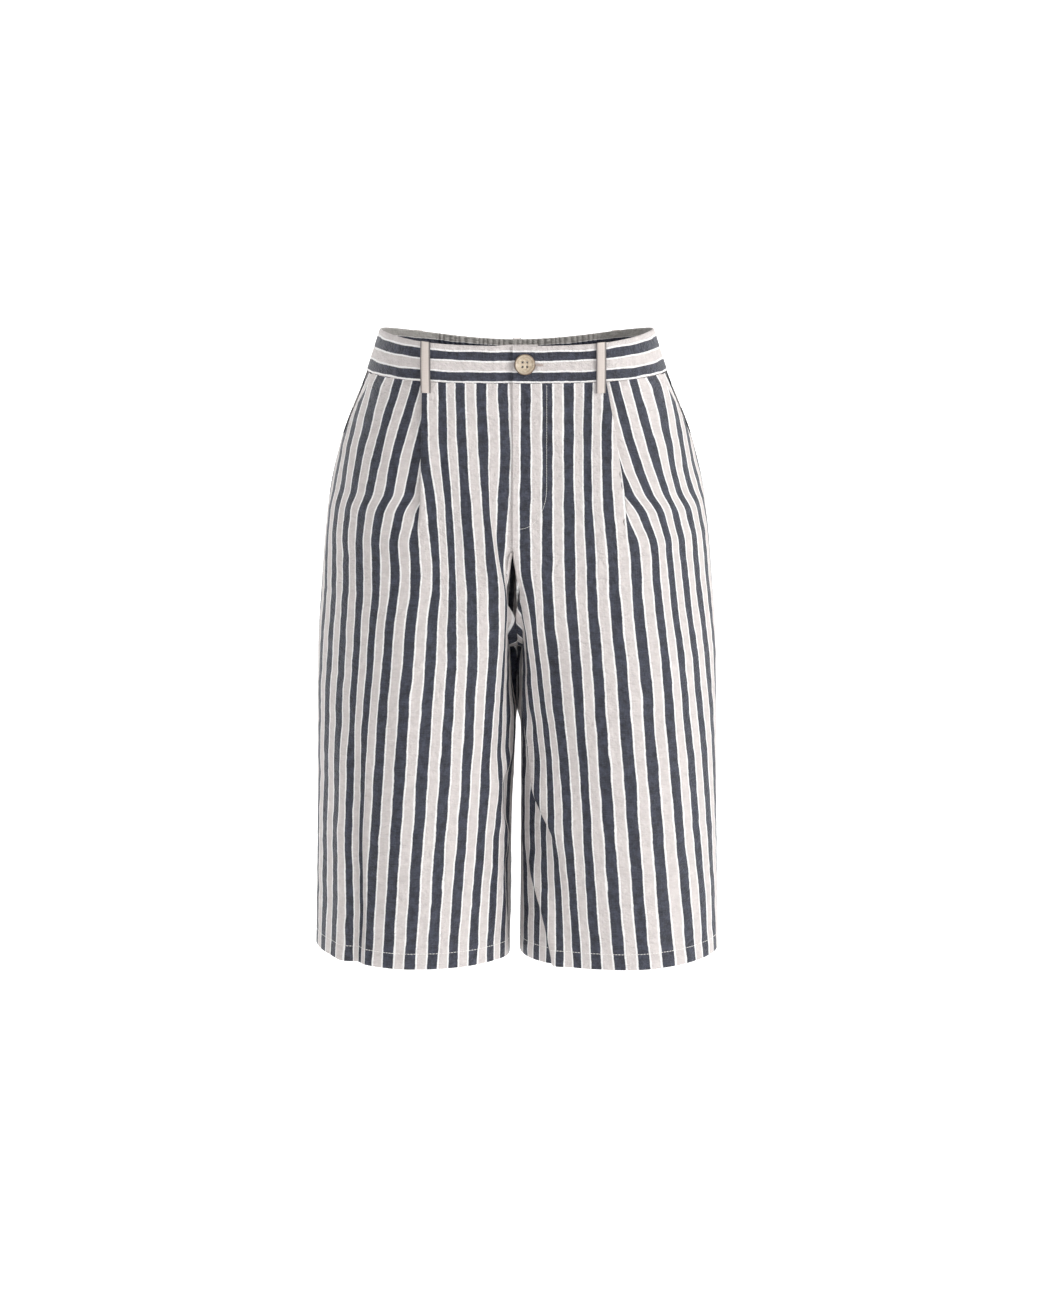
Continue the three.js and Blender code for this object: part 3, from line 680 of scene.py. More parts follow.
# A closed thin wall on a grid of middle points. reach is half its thickness, or gives it
# for a row. The cloth coordinates become its UV map.
def wallMesh(name, grid, cloth, reach, mirrored=False, innerSlot=0):
    middle = np.array(grid, dtype=float)
    rows, columns = middle.shape[:2]
    down = np.gradient(middle, axis=0)
    along = np.gradient(middle, axis=1)
    normal = np.cross(down, along)
    normal /= np.linalg.norm(normal, axis=2, keepdims=True)
    reaches = np.array([reach(i) if callable(reach) else reach for i in range(rows)])
    front = middle + normal * reaches[:, None, None]
    back = middle - normal * reaches[:, None, None]
    vertices = np.concatenate([front.reshape(-1, 3), back.reshape(-1, 3)]) * mm
    if mirrored:
        vertices[:, 0] *= -1
    shift = rows * columns
    index = np.arange(shift).reshape(rows, columns)
    a, b = index[:-1, :-1].ravel(), index[:-1, 1:].ravel()
    c, d = index[1:, 1:].ravel(), index[1:, :-1].ravel()
    quads = [np.stack([a, d, c, b], 1), np.stack([a, b, c, d], 1) + shift]
    for p, q in (
        (index[0, 1:], index[0, :-1]),
        (index[-1, :-1], index[-1, 1:]),
        (index[:-1, 0], index[1:, 0]),
        (index[1:, -1], index[:-1, -1]),
    ):
        quads.append(np.stack([q, p, p + shift, q + shift], 1))
    faces = np.concatenate(quads)
    if mirrored:
        faces = faces[:, ::-1]
    mesh = bpy.data.meshes.new(name)
    mesh.from_pydata(vertices.tolist(), [], faces.tolist())
    flat = np.array(cloth, dtype=float).reshape(-1, 2) * mm
    both = np.concatenate([flat, flat])
    layer = mesh.uv_layers.new(name="cloth")
    corners = np.empty(len(mesh.loops), dtype=np.int32)
    mesh.loops.foreach_get("vertex_index", corners)
    layer.data.foreach_set("uv", both[corners].ravel())
    if innerSlot:
        isInner = np.zeros(len(faces), dtype=np.int32)
        isInner[len(a):2 * len(a)] = innerSlot
        mesh.polygons.foreach_set("material_index", isInner)
    mesh.shade_smooth()
    mesh.set_sharp_from_angle(angle=math.radians(58))
    mesh.update()
    return addObject(name, mesh)


# Materials

def newMaterial(name):
    material = bpy.data.materials.new(name)
    material.use_nodes = True
    tree = material.node_tree
    tree.nodes.clear()
    output = tree.nodes.new("ShaderNodeOutputMaterial")
    shader = tree.nodes.new("ShaderNodeBsdfPrincipled")
    tree.links.new(shader.outputs["BSDF"], output.inputs["Surface"])
    return material, tree, shader


def setInputs(node, values):
    for name, value in values.items():
        node.inputs[name].default_value = value


def maths(tree, operation, a, b=None, c=None):
    node = tree.nodes.new("ShaderNodeMath")
    node.operation = operation
    for i, value in enumerate((a, b, c)):
        if value is None:
            continue
        if isinstance(value, (int, float)):
            node.inputs[i].default_value = value
        else:
            tree.links.new(value, node.inputs[i])
    return node.outputs[0]


def mixColour(tree, factor, a, b):
    node = tree.nodes.new("ShaderNodeMix")
    node.data_type = "RGBA"
    for socket, value in ((node.inputs[0], factor), (node.inputs[6], a), (node.inputs[7], b)):
        if isinstance(value, bpy.types.NodeSocket):
            tree.links.new(value, socket)
        elif isinstance(value, (int, float)):
            socket.default_value = value
        else:
            socket.default_value = (*value, 1.0)
    return node.outputs[2]


def clothCoordinates(tree):
    node = tree.nodes.new("ShaderNodeUVMap")
    node.uv_map = "cloth"
    return node.outputs["UV"]


def objectCoordinates(tree):
    return tree.nodes.new("ShaderNodeTexCoord").outputs["Object"]


def splitAxes(tree, coordinates):
    node = tree.nodes.new("ShaderNodeSeparateXYZ")
    tree.links.new(coordinates, node.inputs[0])
    return node.outputs


# Noise on the cloth with its own size across and down, in millimetres.
def clothNoise(tree, coordinates, alongU, alongV, detail, seed):
    mapping = tree.nodes.new("ShaderNodeMapping")
    scale = (1 / (alongU * mm), 1 / (alongV * mm), 1)
    setInputs(mapping, {"Scale": scale, "Location": (seed * 3.7, seed * 5.3, seed)})
    tree.links.new(coordinates, mapping.inputs["Vector"])
    texture = tree.nodes.new("ShaderNodeTexNoise")
    setInputs(texture, {"Scale": 1.0, "Detail": detail, "Roughness": 0.6})
    tree.links.new(mapping.outputs["Vector"], texture.inputs["Vector"])
    return texture.outputs["Fac"]


def ramp(tree, value, low, high):
    node = tree.nodes.new("ShaderNodeMapRange")
    node.interpolation_type = "SMOOTHSTEP"
    setInputs(node, {"From Min": low, "From Max": high})
    tree.links.new(value, node.inputs["Value"])
    return node.outputs["Result"]


stripedLook = {
    "period": 20.6,
    "centre": 8.0,
    "darkHalf": 4.75,
    "white": 1.6,
    "edge": 0.16,
    "dark": (0.009, 0.011, 0.021),
    "darkWorn": (0.046, 0.052, 0.082),
    "light": (0.60, 0.552, 0.540),
    "lightWarm": (0.74, 0.688, 0.672),
    "whiteLine": (0.95, 0.935, 0.93),
    "roughness": 0.52,
    "specular": 0.55,
    "sheen": 0.04,
    "crumple": 3.0,
    "weave": 0.45,
}
bandLook = dict(stripedLook, period=18.85, centre=10.0, darkHalf=4.05, white=1.45)


def threadWave(tree, coordinates, direction, scale):
    node = tree.nodes.new("ShaderNodeTexWave")
    node.wave_type = "BANDS"
    node.bands_direction = direction
    setInputs(node, {"Scale": scale, "Distortion": 1.4, "Detail Scale": 2.0})
    tree.links.new(coordinates, node.inputs["Vector"])
    return node.outputs["Fac"]


# Crumple, weave and slubs in the bump. It returns the slubs across and down.
def addWeaveBump(tree, shader, coordinates, look, seed):
    crumpleA = clothNoise(tree, coordinates, 11.0, 8.0, 3.0, seed)
    crumpleB = clothNoise(tree, coordinates, 4.0, 3.0, 2.0, seed + 2)
    warp = threadWave(tree, coordinates, "X", 380.0)
    weft = threadWave(tree, coordinates, "Y", 340.0)
    slub = clothNoise(tree, coordinates, 11.0, 0.7, 2.0, seed + 4)
    slubDown = clothNoise(tree, coordinates, 0.6, 14.0, 2.0, seed + 5)
    creaseA = maths(tree, "ABSOLUTE", maths(tree, "SUBTRACT", crumpleA, 0.5))
    creaseB = maths(tree, "ABSOLUTE", maths(tree, "SUBTRACT", crumpleB, 0.5))
    height = maths(tree, "MULTIPLY", creaseA, look["crumple"] * 2.2)
    height = maths(tree, "MULTIPLY_ADD", creaseB, look["crumple"] * 0.8, height)
    threads = maths(tree, "ADD", warp, weft)
    height = maths(tree, "MULTIPLY_ADD", threads, look["weave"] * 0.09, height)
    height = maths(tree, "MULTIPLY_ADD", slub, look["weave"] * 0.35, height)
    height = maths(tree, "MULTIPLY_ADD", slubDown, look["weave"] * 0.3, height)
    bump = tree.nodes.new("ShaderNodeBump")
    setInputs(bump, {"Strength": 0.75, "Distance": 1.0 * mm})
    tree.links.new(height, bump.inputs["Height"])
    tree.links.new(bump.outputs["Normal"], shader.inputs["Normal"])
    return slub, slubDown


# Navy stripes edged with a thin white line, on pinkish greige.
def stripedCloth(name, look, axis, seed):
    material, tree, shader = newMaterial(name)
    coordinates = clothCoordinates(tree)
    across = splitAxes(tree, coordinates)[axis]
    long = (9.0, 34.0) if axis == 0 else (34.0, 9.0)
    short = (2.2, 5.0) if axis == 0 else (5.0, 2.2)
    wobbleLong = clothNoise(tree, coordinates, *long, 1.0, seed)
    wobbleShort = clothNoise(tree, coordinates, *short, 2.0, seed + 1)
    moved = maths(tree, "MULTIPLY_ADD", maths(tree, "SUBTRACT", wobbleLong, 0.5), 2.6 * mm, across)
    moved = maths(tree, "MULTIPLY_ADD", maths(tree, "SUBTRACT", wobbleShort, 0.5), 0.9 * mm, moved)
    shifted = maths(tree, "SUBTRACT", moved, (look["centre"] - look["period"] / 2) * mm)
    turns = maths(tree, "DIVIDE", shifted, look["period"] * mm)
    part = maths(tree, "FRACT", maths(tree, "ADD", turns, 64.0))
    away = maths(tree, "ABSOLUTE", maths(tree, "SUBTRACT", part, 0.5))
    away = maths(tree, "MULTIPLY", away, look["period"])
    edge = look["edge"]
    darkEdge = look["darkHalf"]
    whiteEdge = darkEdge + look["white"]
    notDark = ramp(tree, away, darkEdge - edge, darkEdge + edge)
    isLight = ramp(tree, away, whiteEdge - edge * 1.4, whiteEdge + edge * 1.4)
    slub, slubDown = addWeaveBump(tree, shader, coordinates, look, seed)
    fade = clothNoise(tree, coordinates, 7.0, 9.0, 4.0, seed + 8)
    worn = maths(tree, "ADD", maths(tree, "MULTIPLY", slub, 0.55), maths(tree, "MULTIPLY", slubDown, 0.45))
    worn = maths(tree, "MULTIPLY_ADD", fade, 0.9, worn)
    wornShare = ramp(tree, worn, 0.72, 1.2)
    lightShare = ramp(tree, worn, 0.65, 1.25)
    dark = mixColour(tree, wornShare, look["dark"], look["darkWorn"])
    light = mixColour(tree, lightShare, look["light"], look["lightWarm"])
    colour = mixColour(tree, isLight, look["whiteLine"], light)
    colour = mixColour(tree, notDark, dark, colour)
    tree.links.new(colour, shader.inputs["Base Color"])
    finishCloth(shader, look)
    return material


def finishCloth(shader, look):
    setInputs(shader, {
        "Roughness": look["roughness"],
        "Specular IOR Level": look["specular"],
        "Sheen Weight": look["sheen"],
        "Sheen Roughness": 0.45,
    })


plainLook = {
    "colour": (0.66, 0.585, 0.54),
    "colourWarm": (0.73, 0.655, 0.61),
    "roughness": 0.82,
    "specular": 0.55,
    "sheen": 0.2,
    "crumple": 0.2,
    "weave": 0.5,
}
tapeLook = dict(plainLook, colour=(0.50, 0.47, 0.44), colourWarm=(0.56, 0.53, 0.50))


# Plain cloth, with painted shade darkening both edges where lines are given.
def plainCloth(name, look, seed, lines=None):
    material, tree, shader = newMaterial(name)
    coordinates = clothCoordinates(tree)
    slub, slubDown = addWeaveBump(tree, shader, coordinates, look, seed)
    share = ramp(tree, maths(tree, "ADD", slub, slubDown), 0.7, 1.4)
    colour = mixColour(tree, share, look["colour"], look["colourWarm"])
    if lines:
        away = maths(tree, "ABSOLUTE", splitAxes(tree, coordinates)[0])
        away = maths(tree, "ABSOLUTE", maths(tree, "SUBTRACT", away, lines["at"] * mm))
        shade = ramp(tree, away, 0.0, lines["width"] * mm)
        colour = mixColour(tree, shade, lines["colour"], colour)
    tree.links.new(colour, shader.inputs["Base Color"])
    finishCloth(shader, look)
    return material


stripedMaterial = stripedCloth("striped_cloth", stripedLook, 0, 1.0)
bandMaterial = stripedCloth("striped_band", bandLook, 1, 5.0)
# The band's inner face is the band's striped cloth with its light stripes darkened: painted shade for the
# shade inside the band.
shadedFacingLook = dict(
    bandLook, centre=10.3, white=0.4, light=(0.34, 0.325, 0.305), lightWarm=(0.46, 0.44, 0.415),
)
shadedFacingMaterial = stripedCloth("band_facing_painted_shade", shadedFacingLook, 1, 9.0)
# Painted shadow along both edges of each belt loop, for its shadow and the shade where its edge turns.
loopEdgeShade = {"at": 4.6, "width": 2.3, "colour": (0.10, 0.09, 0.095)}
loopMaterial = plainCloth("loop_cloth", plainLook, 12.0, loopEdgeShade)
tapeMaterial = plainCloth("zip_tape", tapeLook, 15.0)
print("stage: materials made")


def dress(obj, node, slotName, *materials):
    for material in materials:
        obj.data.materials.append(material)
    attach(obj, body)
    if node:
        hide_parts(node)


clothHalf = 0.32
pocketHalf = 0.3


# built is a grid and its cloth coordinates. A second material goes on the inner face.
def addCloth(node, built, reach, slotName, materials, mirrored=False, name=None):
    grid, cloth = built
    obj = wallMesh(name or node + "_cloth", grid, cloth, reach, mirrored, len(materials) - 1)
    dress(obj, node, slotName, *materials)


for side in (leftSide, rightSide):
    mirrored = side["sign"] < 0
    name = side["name"]
    striped = [stripedMaterial]
    addCloth("front_" + name, frontGrid(side), clothHalf, "striped_cloth", striped, mirrored)
    addCloth("back_" + name, backGrid(side), clothHalf, "striped_cloth", striped, mirrored)
print("stage: leg panels made")


def pocketGrid(side):
    rows = levels((pocket["top"], pocket["bottom"], pocket["bagBottom"]), 4.0)
    grid = []
    cloth = []
    for z in rows:
        line = frontLine(side, z)
        curve = line[0]
        seamSide = 5.0 if z < pocket["bottom"] else garment["halfGap"]
        points = []
        for i in range(25):
            inFromSeam = mix(pocket["bag"], seamSide, i / 24)
            points.append(frontCloth(side, z, line, curve.length - inFromSeam, -pocket["inset"]))
        mouth = pocket["bag"] - pocketCut(z)
        grid.append([p[0] for p in points])
        cloth.append([
            (pocket["lightAt"] + 0.35 * ((pocket["bag"] - seamSide) * i / 24 - mouth), p[1][1])
            for i, p in enumerate(points)
        ])
    return grid, cloth


for side in (leftSide, rightSide):
    node = "pocket_" + side["name"]
    addCloth(node, pocketGrid(side), pocketHalf, "striped_cloth", [stripedMaterial], side["sign"] < 0)
print("stage: pockets made")


band = {"half": 1.15, "edgeHalf": 0.45, "rows": (0, 0.5, 1.4, 5, 9, 13, 17.5, 22, 26, 30, 33.2, 34.1, 34.7)}


def bandReach(i):
    last = len(band["rows"]) - 1
    rim = min(i, last - i)
    return (band["edgeHalf"], 0.9, band["half"])[min(rim, 2)]


def frontBandGrid(side):
    start = lap["bandStart"] if side["laps"] else -lap["bandUnder"]
    grid = []
    cloth = []
    steps = 110
    for down in band["rows"]:
        z = -down
        curve = frontSection(side, z, start)
        line = []
        flat = []
        for i in range(steps + 1):
            distance = (curve.length - garment["halfGap"]) * i / steps
            x = curve.at(distance)[0]
            tucked = 0.0 if side["laps"] else 1 - smooth((x - 5) / lap["ease"])
            pucker = 0.22 * noise.noise(Vector((distance / 5.5, down / 30, side["sign"] * 2.0)))
            pucker += 0.12 * noise.noise(Vector((distance / 2.3, down / 14, 9)))
            x, y, height = place(side, curve, distance, pucker - lap["bandStep"] * tucked, z, False)
            line.append((x, y, height + lap["peek"] * tucked * (1 - smooth(down / 5))))
            flat.append((distance + start, down))
        grid.append(line)
        cloth.append(flat)
    return grid, cloth


elastic = {"half": 84.0, "gathers": 30, "depth": 0.95}


def backBandGrid():
    grid = []
    cloth = []
    plainSteps = 30
    steps = elastic["gathers"] * 8
    for down in band["rows"]:
        z = -down
        curve = backSection(leftSide, z, 0)
        gatherStart = curve.length - elastic["half"]
        spots = []
        for i in range(plainSteps):
            spots.append((mix(garment["halfGap"], gatherStart, i / plainSteps), 0.0, 1))
        for i in range(steps + 1):
            around = i / steps * 2 - 1
            edge = smooth((1 - abs(around)) * 12)
            drift = 0.8 * noise.noise(Vector((i / 21, down / 50, 2)))
            uneven = 1 + 0.5 * noise.noise(Vector((i / 9, down / 40, 4)))
            wave = math.sin(2 * math.pi * (i / 8 + drift)) * elastic["depth"] * uneven * edge
            distance = curve.length - abs(around) * elastic["half"]
            spots.append((distance, wave, 1 if around <= 0 else -1))
        for i in range(plainSteps - 1, -1, -1):
            spots.append((mix(garment["halfGap"], gatherStart, i / plainSteps), 0.0, -1))
        line = []
        flat = []
        for distance, wave, sign in spots:
            x, y, height = place(leftSide, curve, distance, wave, z, True)
            line.append((x * sign, y, height))
            flat.append(((curve.length - distance) * sign, down))
        grid.append(line)
        cloth.append(flat)
    return grid, cloth


# The band's inner faces take the striped cloth with painted shade.
bandFaces = [bandMaterial, shadedFacingMaterial]
for side in (leftSide, rightSide):
    node = "waistband_front_" + side["name"]
    addCloth(node, frontBandGrid(side), bandReach, "band_cloth", bandFaces, side["sign"] < 0)
addCloth("waistband_back", backBandGrid(), bandReach, "band_cloth", bandFaces)
print("stage: waistband made")


# The fly's hidden strips: columns is how many faces they have across.
def flyGrid(strip):
    grid = []
    cloth = []
    for z in levels((-35.3, strip["bottom"]), 5.0):
        curve = frontSection(leftSide, z, strip["edge"])
        narrow = 1 - 0.4 * smooth((strip["bottom"] + 30 - z) / 30)
        line = []
        flat = []
        for i in range(strip["columns"] + 1):
            distance = strip["width"] * narrow * i / strip["columns"]
            line.append(place(leftSide, curve, distance, -strip["inset"], z, False))
            flat.append((distance + strip["edge"] + 4, -z))
        grid.append(line)
        cloth.append(flat)
    return grid, cloth


shield = {"width": 39.0, "bottom": -181.0, "edge": -7.0, "inset": 3.6, "half": 0.5, "columns": 12}
zipTape = {"width": 21.0, "bottom": -175.0, "edge": 2.5, "inset": 1.8, "half": 0.3, "columns": 8}
addCloth("fly_shield", flyGrid(shield), shield["half"], "striped_cloth", [stripedMaterial])
addCloth("zip", flyGrid(zipTape), zipTape["half"], "zip_tape", [tapeMaterial], name="zip_tape_cloth")
print("stage: fly made")


# The columns run across a loop, with a sewn groove near each edge.
loop = {
    "half": 0.62,
    "standOff": 2.2,
    "middle": 3.2,
    "top": 0.6,
    "bottom": -45.0,
    "gathered": 1.1,
    "backAcross": 100,
    "groove": 2.9,
    "columns": (-4.5, -4.2, -3.4, -2.9, -2.5, -1.2, 0, 1.2, 2.5, 2.9, 3.4, 4.2, 4.5),
}


def loopGrid(side, isBack, across, extra=0.0):
    grid = []
    cloth = []
    zs = levels((loop["top"], loop["bottom"]), 1.6)
    for i, z in enumerate(zs):
        level = min(0.0, z)
        curve = backSection(side, level) if isBack else frontSection(side, level)
        where = curve.length - across if isBack else curve.whereAcross(across)
        t = i / (len(zs) - 1)
        rise = mix(loop["standOff"], loop["middle"], math.sin(math.pi * t)) + extra
        line = []
        flat = []
        for c in loop["columns"]:
            groove = -0.18 if abs(abs(c) - loop["groove"]) < 0.1 else 0.0
            x, y, height = place(side, curve, where + c, rise + groove, level, isBack)
            line.append((x, y, height + max(0.0, z)))
            flat.append((c, -z))
        grid.append(line)
        cloth.append(flat)
    return grid, cloth


def addLoop(node, side, isBack, across, mirrored, extra=0.0):
    built = loopGrid(side, isBack, across, extra)
    addCloth(node, built, loop["half"], "loop_cloth", [loopMaterial], mirrored)


for side in (leftSide, rightSide):
    mirrored = side["sign"] < 0
    addLoop("loop_front_" + side["name"], side, False, side["loopAcross"], mirrored)
    addLoop("loop_back_" + side["name"], side, True, loop["backAcross"], mirrored)
addLoop("loop_back_centre", leftSide, True, 0, False, loop["gathered"])
print("stage: loops made")


buttonSettings = {
    "diameter": 20.0,
    "thickness": 3.0,
    "across": 7.6,
    "height": -17.7,
    "holeRadius": 1.1,
    "holePitch": 4.4,
    "steps": 64,
}


def bandPoint(z, x, out=0.0):
    curve = frontSection(leftSide, z, lap["bandStart"])
    return Vector(place(leftSide, curve, curve.whereAcross(x), out, z, False)) * mm


def buttonFrame():
    top = bandPoint(0, buttonSettings["across"])
    foot = bandPoint(-garment["bandHeight"], buttonSettings["across"])
    axis = (foot - top).cross(Vector((1, 0, 0))).normalized()
    seat = bandPoint(buttonSettings["height"], buttonSettings["across"]) + axis * (1.5 * mm)
    turn = Vector((0, 0, 1)).rotation_difference(axis)
    return Matrix.Translation(seat) @ turn.to_matrix().to_4x4()


def hornMaterial():
    material, tree, shader = newMaterial("button_horn")
    swirl = tree.nodes.new("ShaderNodeTexNoise")
    setInputs(swirl, {"Scale": 160.0, "Detail": 4.0, "Distortion": 2.2})
    tree.links.new(objectCoordinates(tree), swirl.inputs["Vector"])
    cloudy = ramp(tree, swirl.outputs["Fac"], 0.35, 0.68)
    colour = mixColour(tree, cloudy, (0.66, 0.56, 0.43), (0.50, 0.39, 0.27))
    # The rim attribute mixes in dark brown: painted shade on the button's outer edge and the lip of its
    # well.
    rim = tree.nodes.new("ShaderNodeAttribute")
    rim.attribute_name = "rim"
    colour = mixColour(tree, rim.outputs["Fac"], colour, (0.10, 0.055, 0.03))
    tree.links.new(colour, shader.inputs["Base Color"])
    setInputs(shader, {
        "Roughness": 0.34,
        "Coat Weight": 0.25,
        "Coat Roughness": 0.2,
        "Subsurface Weight": 0.08,
        "Subsurface Radius": (0.002, 0.0015, 0.001),
    })
    return material


# A turned disc with a rim, a shallow well and four drilled holes.
def makeButton():
    r = buttonSettings["diameter"] / 2
    t = buttonSettings["thickness"]
    profile = (
        (0.0, 0.0), (r - 2.2, 0.0), (r - 1.0, 0.25), (r - 0.25, 0.9), (r, 1.5), (r - 0.12, 2.1),
        (r - 0.6, 2.75), (r - 1.3, t), (r - 2.0, 2.85), (r - 2.7, 2.35), (r - 3.4, 2.0), (r - 5.0, 1.85),
        (0.0, 1.8),
    )
    # How much painted shade each profile point takes, strongest round the outer edge.
    rimPaintedShade = (0, 0, 0.5, 1, 1, 1, 0.8, 0.3, 0, 0.3, 0.1, 0, 0)
    steps = buttonSettings["steps"]
    vertices = []
    shades = []
    for (radius, height), shade in zip(profile, rimPaintedShade):
        if radius == 0:
            vertices.append((0, 0, height))
            shades.append(shade)
            continue
        for i in range(steps):
            angle = 2 * math.pi * i / steps
            vertices.append((radius * math.cos(angle), radius * math.sin(angle), height))
            shades.append(shade)
    faces = [(0, 1 + (i + 1) % steps, 1 + i) for i in range(steps)]
    rings = len(profile) - 2
    for k in range(rings - 1):
        for i in range(steps):
            j = (i + 1) % steps
            a = 1 + k * steps
            b = a + steps
            faces.append((a + i, a + j, b + j, b + i))
    last = 1 + rings * steps
    top = 1 + (rings - 1) * steps
    faces += [(top + i, top + (i + 1) % steps, last) for i in range(steps)]
    mesh = bpy.data.meshes.new("button_horn")
    mesh.from_pydata([tuple(c * mm for c in v) for v in vertices], [], faces)
    rim = mesh.attributes.new("rim", "FLOAT", "POINT")
    rim.data.foreach_set("value", shades)
    obj = addObject("button_horn", mesh)
    offset = buttonSettings["holePitch"] / 2 * mm
    for dx, dy in ((1, 1), (1, -1), (-1, -1), (-1, 1)):
        bpy.ops.mesh.primitive_cylinder_add(
            vertices=20,
            radius=buttonSettings["holeRadius"] * mm,
            depth=12 * mm,
            location=(dx * offset, dy * offset, 0),
        )
        drill = bpy.context.object
        cut = obj.modifiers.new("hole", "BOOLEAN")
        cut.operation = "DIFFERENCE"
        cut.object = drill
        cut.solver = "EXACT"
        bpy.context.view_layer.update()
        evaluated = obj.evaluated_get(bpy.context.evaluated_depsgraph_get())
        cutMesh = bpy.data.meshes.new_from_object(evaluated)
        obj.modifiers.remove(cut)
        obj.data = cutMesh
        bpy.data.objects.remove(drill)
    obj.data.transform(buttonFrame())
    obj.data.shade_smooth()
    obj.data.set_sharp_from_angle(angle=math.radians(40))
    return obj


button = makeButton()
dress(button, "button", "button_horn", hornMaterial())
print("stage: button made")


# Stitches are stretched beads of thread, set along a line by Geometry Nodes.
threadLook = {"colour": (0.93, 0.91, 0.88), "roughness": 0.6}
# The holes' thread is near black: painted shade for the dark inside the holes.
holeShadeThread = {"colour": (0.014, 0.010, 0.009), "roughness": 0.8}
buttonholeThread = {"colour": (0.42, 0.29, 0.24), "roughness": 0.6}


def threadMaterial(name, look):
    material, tree, shader = newMaterial(name)
    twist = tree.nodes.new("ShaderNodeTexWave")
    setInputs(twist, {"Scale": 900.0})
    tree.links.new(objectCoordinates(tree), twist.inputs["Vector"])
    shaded = tuple(c * 0.86 for c in look["colour"])
    colour = mixColour(tree, twist.outputs["Fac"], shaded, look["colour"])
    tree.links.new(colour, shader.inputs["Base Color"])
    setInputs(shader, {"Roughness": look["roughness"], "Sheen Weight": 0.1})
    return material


thread = threadMaterial("thread", threadLook)


def stitchGroup():
    group = bpy.data.node_groups.new("Stitch Row", "GeometryNodeTree")
    face = group.interface
    face.new_socket("Geometry", in_out="INPUT", socket_type="NodeSocketGeometry")
    pitch = face.new_socket("Stitch Pitch", in_out="INPUT", socket_type="NodeSocketFloat")
    length = face.new_socket("Stitch Length", in_out="INPUT", socket_type="NodeSocketFloat")
    width = face.new_socket("Thread Width", in_out="INPUT", socket_type="NodeSocketFloat")
    material = face.new_socket("Thread Material", in_out="INPUT", socket_type="NodeSocketMaterial")
    face.new_socket("Geometry", in_out="OUTPUT", socket_type="NodeSocketGeometry")
    nodes = group.nodes
    links = group.links
    source = nodes.new("NodeGroupInput")
    toCurve = nodes.new("GeometryNodeMeshToCurve")
    links.new(source.outputs["Geometry"], toCurve.inputs["Mesh"])
    toPoints = nodes.new("GeometryNodeCurveToPoints")
    toPoints.mode = "LENGTH"
    links.new(toCurve.outputs["Curve"], toPoints.inputs["Curve"])
    links.new(source.outputs[pitch.name], toPoints.inputs["Length"])
    ball = nodes.new("GeometryNodeMeshUVSphere")
    setInputs(ball, {"Segments": 6, "Rings": 4, "Radius": 0.5})
    shape = nodes.new("ShaderNodeCombineXYZ")
    links.new(source.outputs[width.name], shape.inputs["X"])
    links.new(source.outputs[width.name], shape.inputs["Y"])
    links.new(source.outputs[length.name], shape.inputs["Z"])
    align = nodes.new("FunctionNodeAlignRotationToVector")
    align.axis = "Z"
    links.new(toPoints.outputs["Tangent"], align.inputs["Vector"])
    instance = nodes.new("GeometryNodeInstanceOnPoints")
    links.new(toPoints.outputs["Points"], instance.inputs["Points"])
    links.new(ball.outputs["Mesh"], instance.inputs["Instance"])
    links.new(align.outputs["Rotation"], instance.inputs["Rotation"])
    links.new(shape.outputs["Vector"], instance.inputs["Scale"])
    real = nodes.new("GeometryNodeRealizeInstances")
    links.new(instance.outputs["Instances"], real.inputs["Geometry"])
    setMaterial = nodes.new("GeometryNodeSetMaterial")
    links.new(real.outputs["Geometry"], setMaterial.inputs["Geometry"])
    links.new(source.outputs[material.name], setMaterial.inputs["Material"])
    output = nodes.new("NodeGroupOutput")
    links.new(setMaterial.outputs["Geometry"], output.inputs["Geometry"])
    sockets = {
        "pitch": pitch.identifier,
        "length": length.identifier,
        "width": width.identifier,
        "material": material.identifier,
    }
    return group, sockets


stitchNodes, stitchSockets = stitchGroup()


# lines holds polylines in metres. The sizes are in millimetres.
def makeStitches(name, lines, pitch, length, width, material=None):
    material = material or thread
    vertices = []
    edges = []
    for line in lines:
        start = len(vertices)
        vertices += [tuple(p) for p in line]
        edges += [(start + i, start + i + 1) for i in range(len(line) - 1)]
    mesh = bpy.data.meshes.new(name)
    mesh.from_pydata(vertices, edges, [])
    obj = addObject(name, mesh)
    modifier = obj.modifiers.new("stitches", "NODES")
    modifier.node_group = stitchNodes
    modifier[stitchSockets["pitch"]] = pitch * mm
    modifier[stitchSockets["length"]] = length * mm
    modifier[stitchSockets["width"]] = width * mm
    modifier[stitchSockets["material"]] = material
    obj.update_tag()
    bpy.context.view_layer.update()
    evaluated = obj.evaluated_get(bpy.context.evaluated_depsgraph_get())
    finished = bpy.data.meshes.new_from_object(evaluated)
    obj.modifiers.remove(modifier)
    obj.data = finished
    finished.materials.clear()
    finished.materials.append(material)
    finished.shade_smooth()
    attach(obj, body)


# Heights above the cloth in millimetres, and how many steps the hem's line has.
stitches = {"aboveHem": 0.52, "aboveFly": 0.42, "hemSteps": 160}


def mirrorPoints(side, points):
    return [Vector((p[0] * side["sign"], p[1], p[2])) * mm for p in points]


def hemLine(side, isBack):
    z = -garment["length"] + hem["stitchUp"]
    above = stitches["aboveHem"]
    steps = stitches["hemSteps"]
    points = []
    if isBack:
        curve = backSection(side, z)
        creaseRun = curve.whereAcross(section("crease", z) - 0.01)
        for i in range(steps + 1):
            distance = mix(1.0, curve.length - 1.0, i / steps)
            points.append(backCloth(side, z, curve, creaseRun, distance, above)[0])
    else:
        line = frontLine(side, z)
        for i in range(steps + 1):
            distance = mix(1.0, line[0].length - 1.0, i / steps)
            points.append(frontCloth(side, z, line, distance, above)[0])
    return mirrorPoints(side, points)


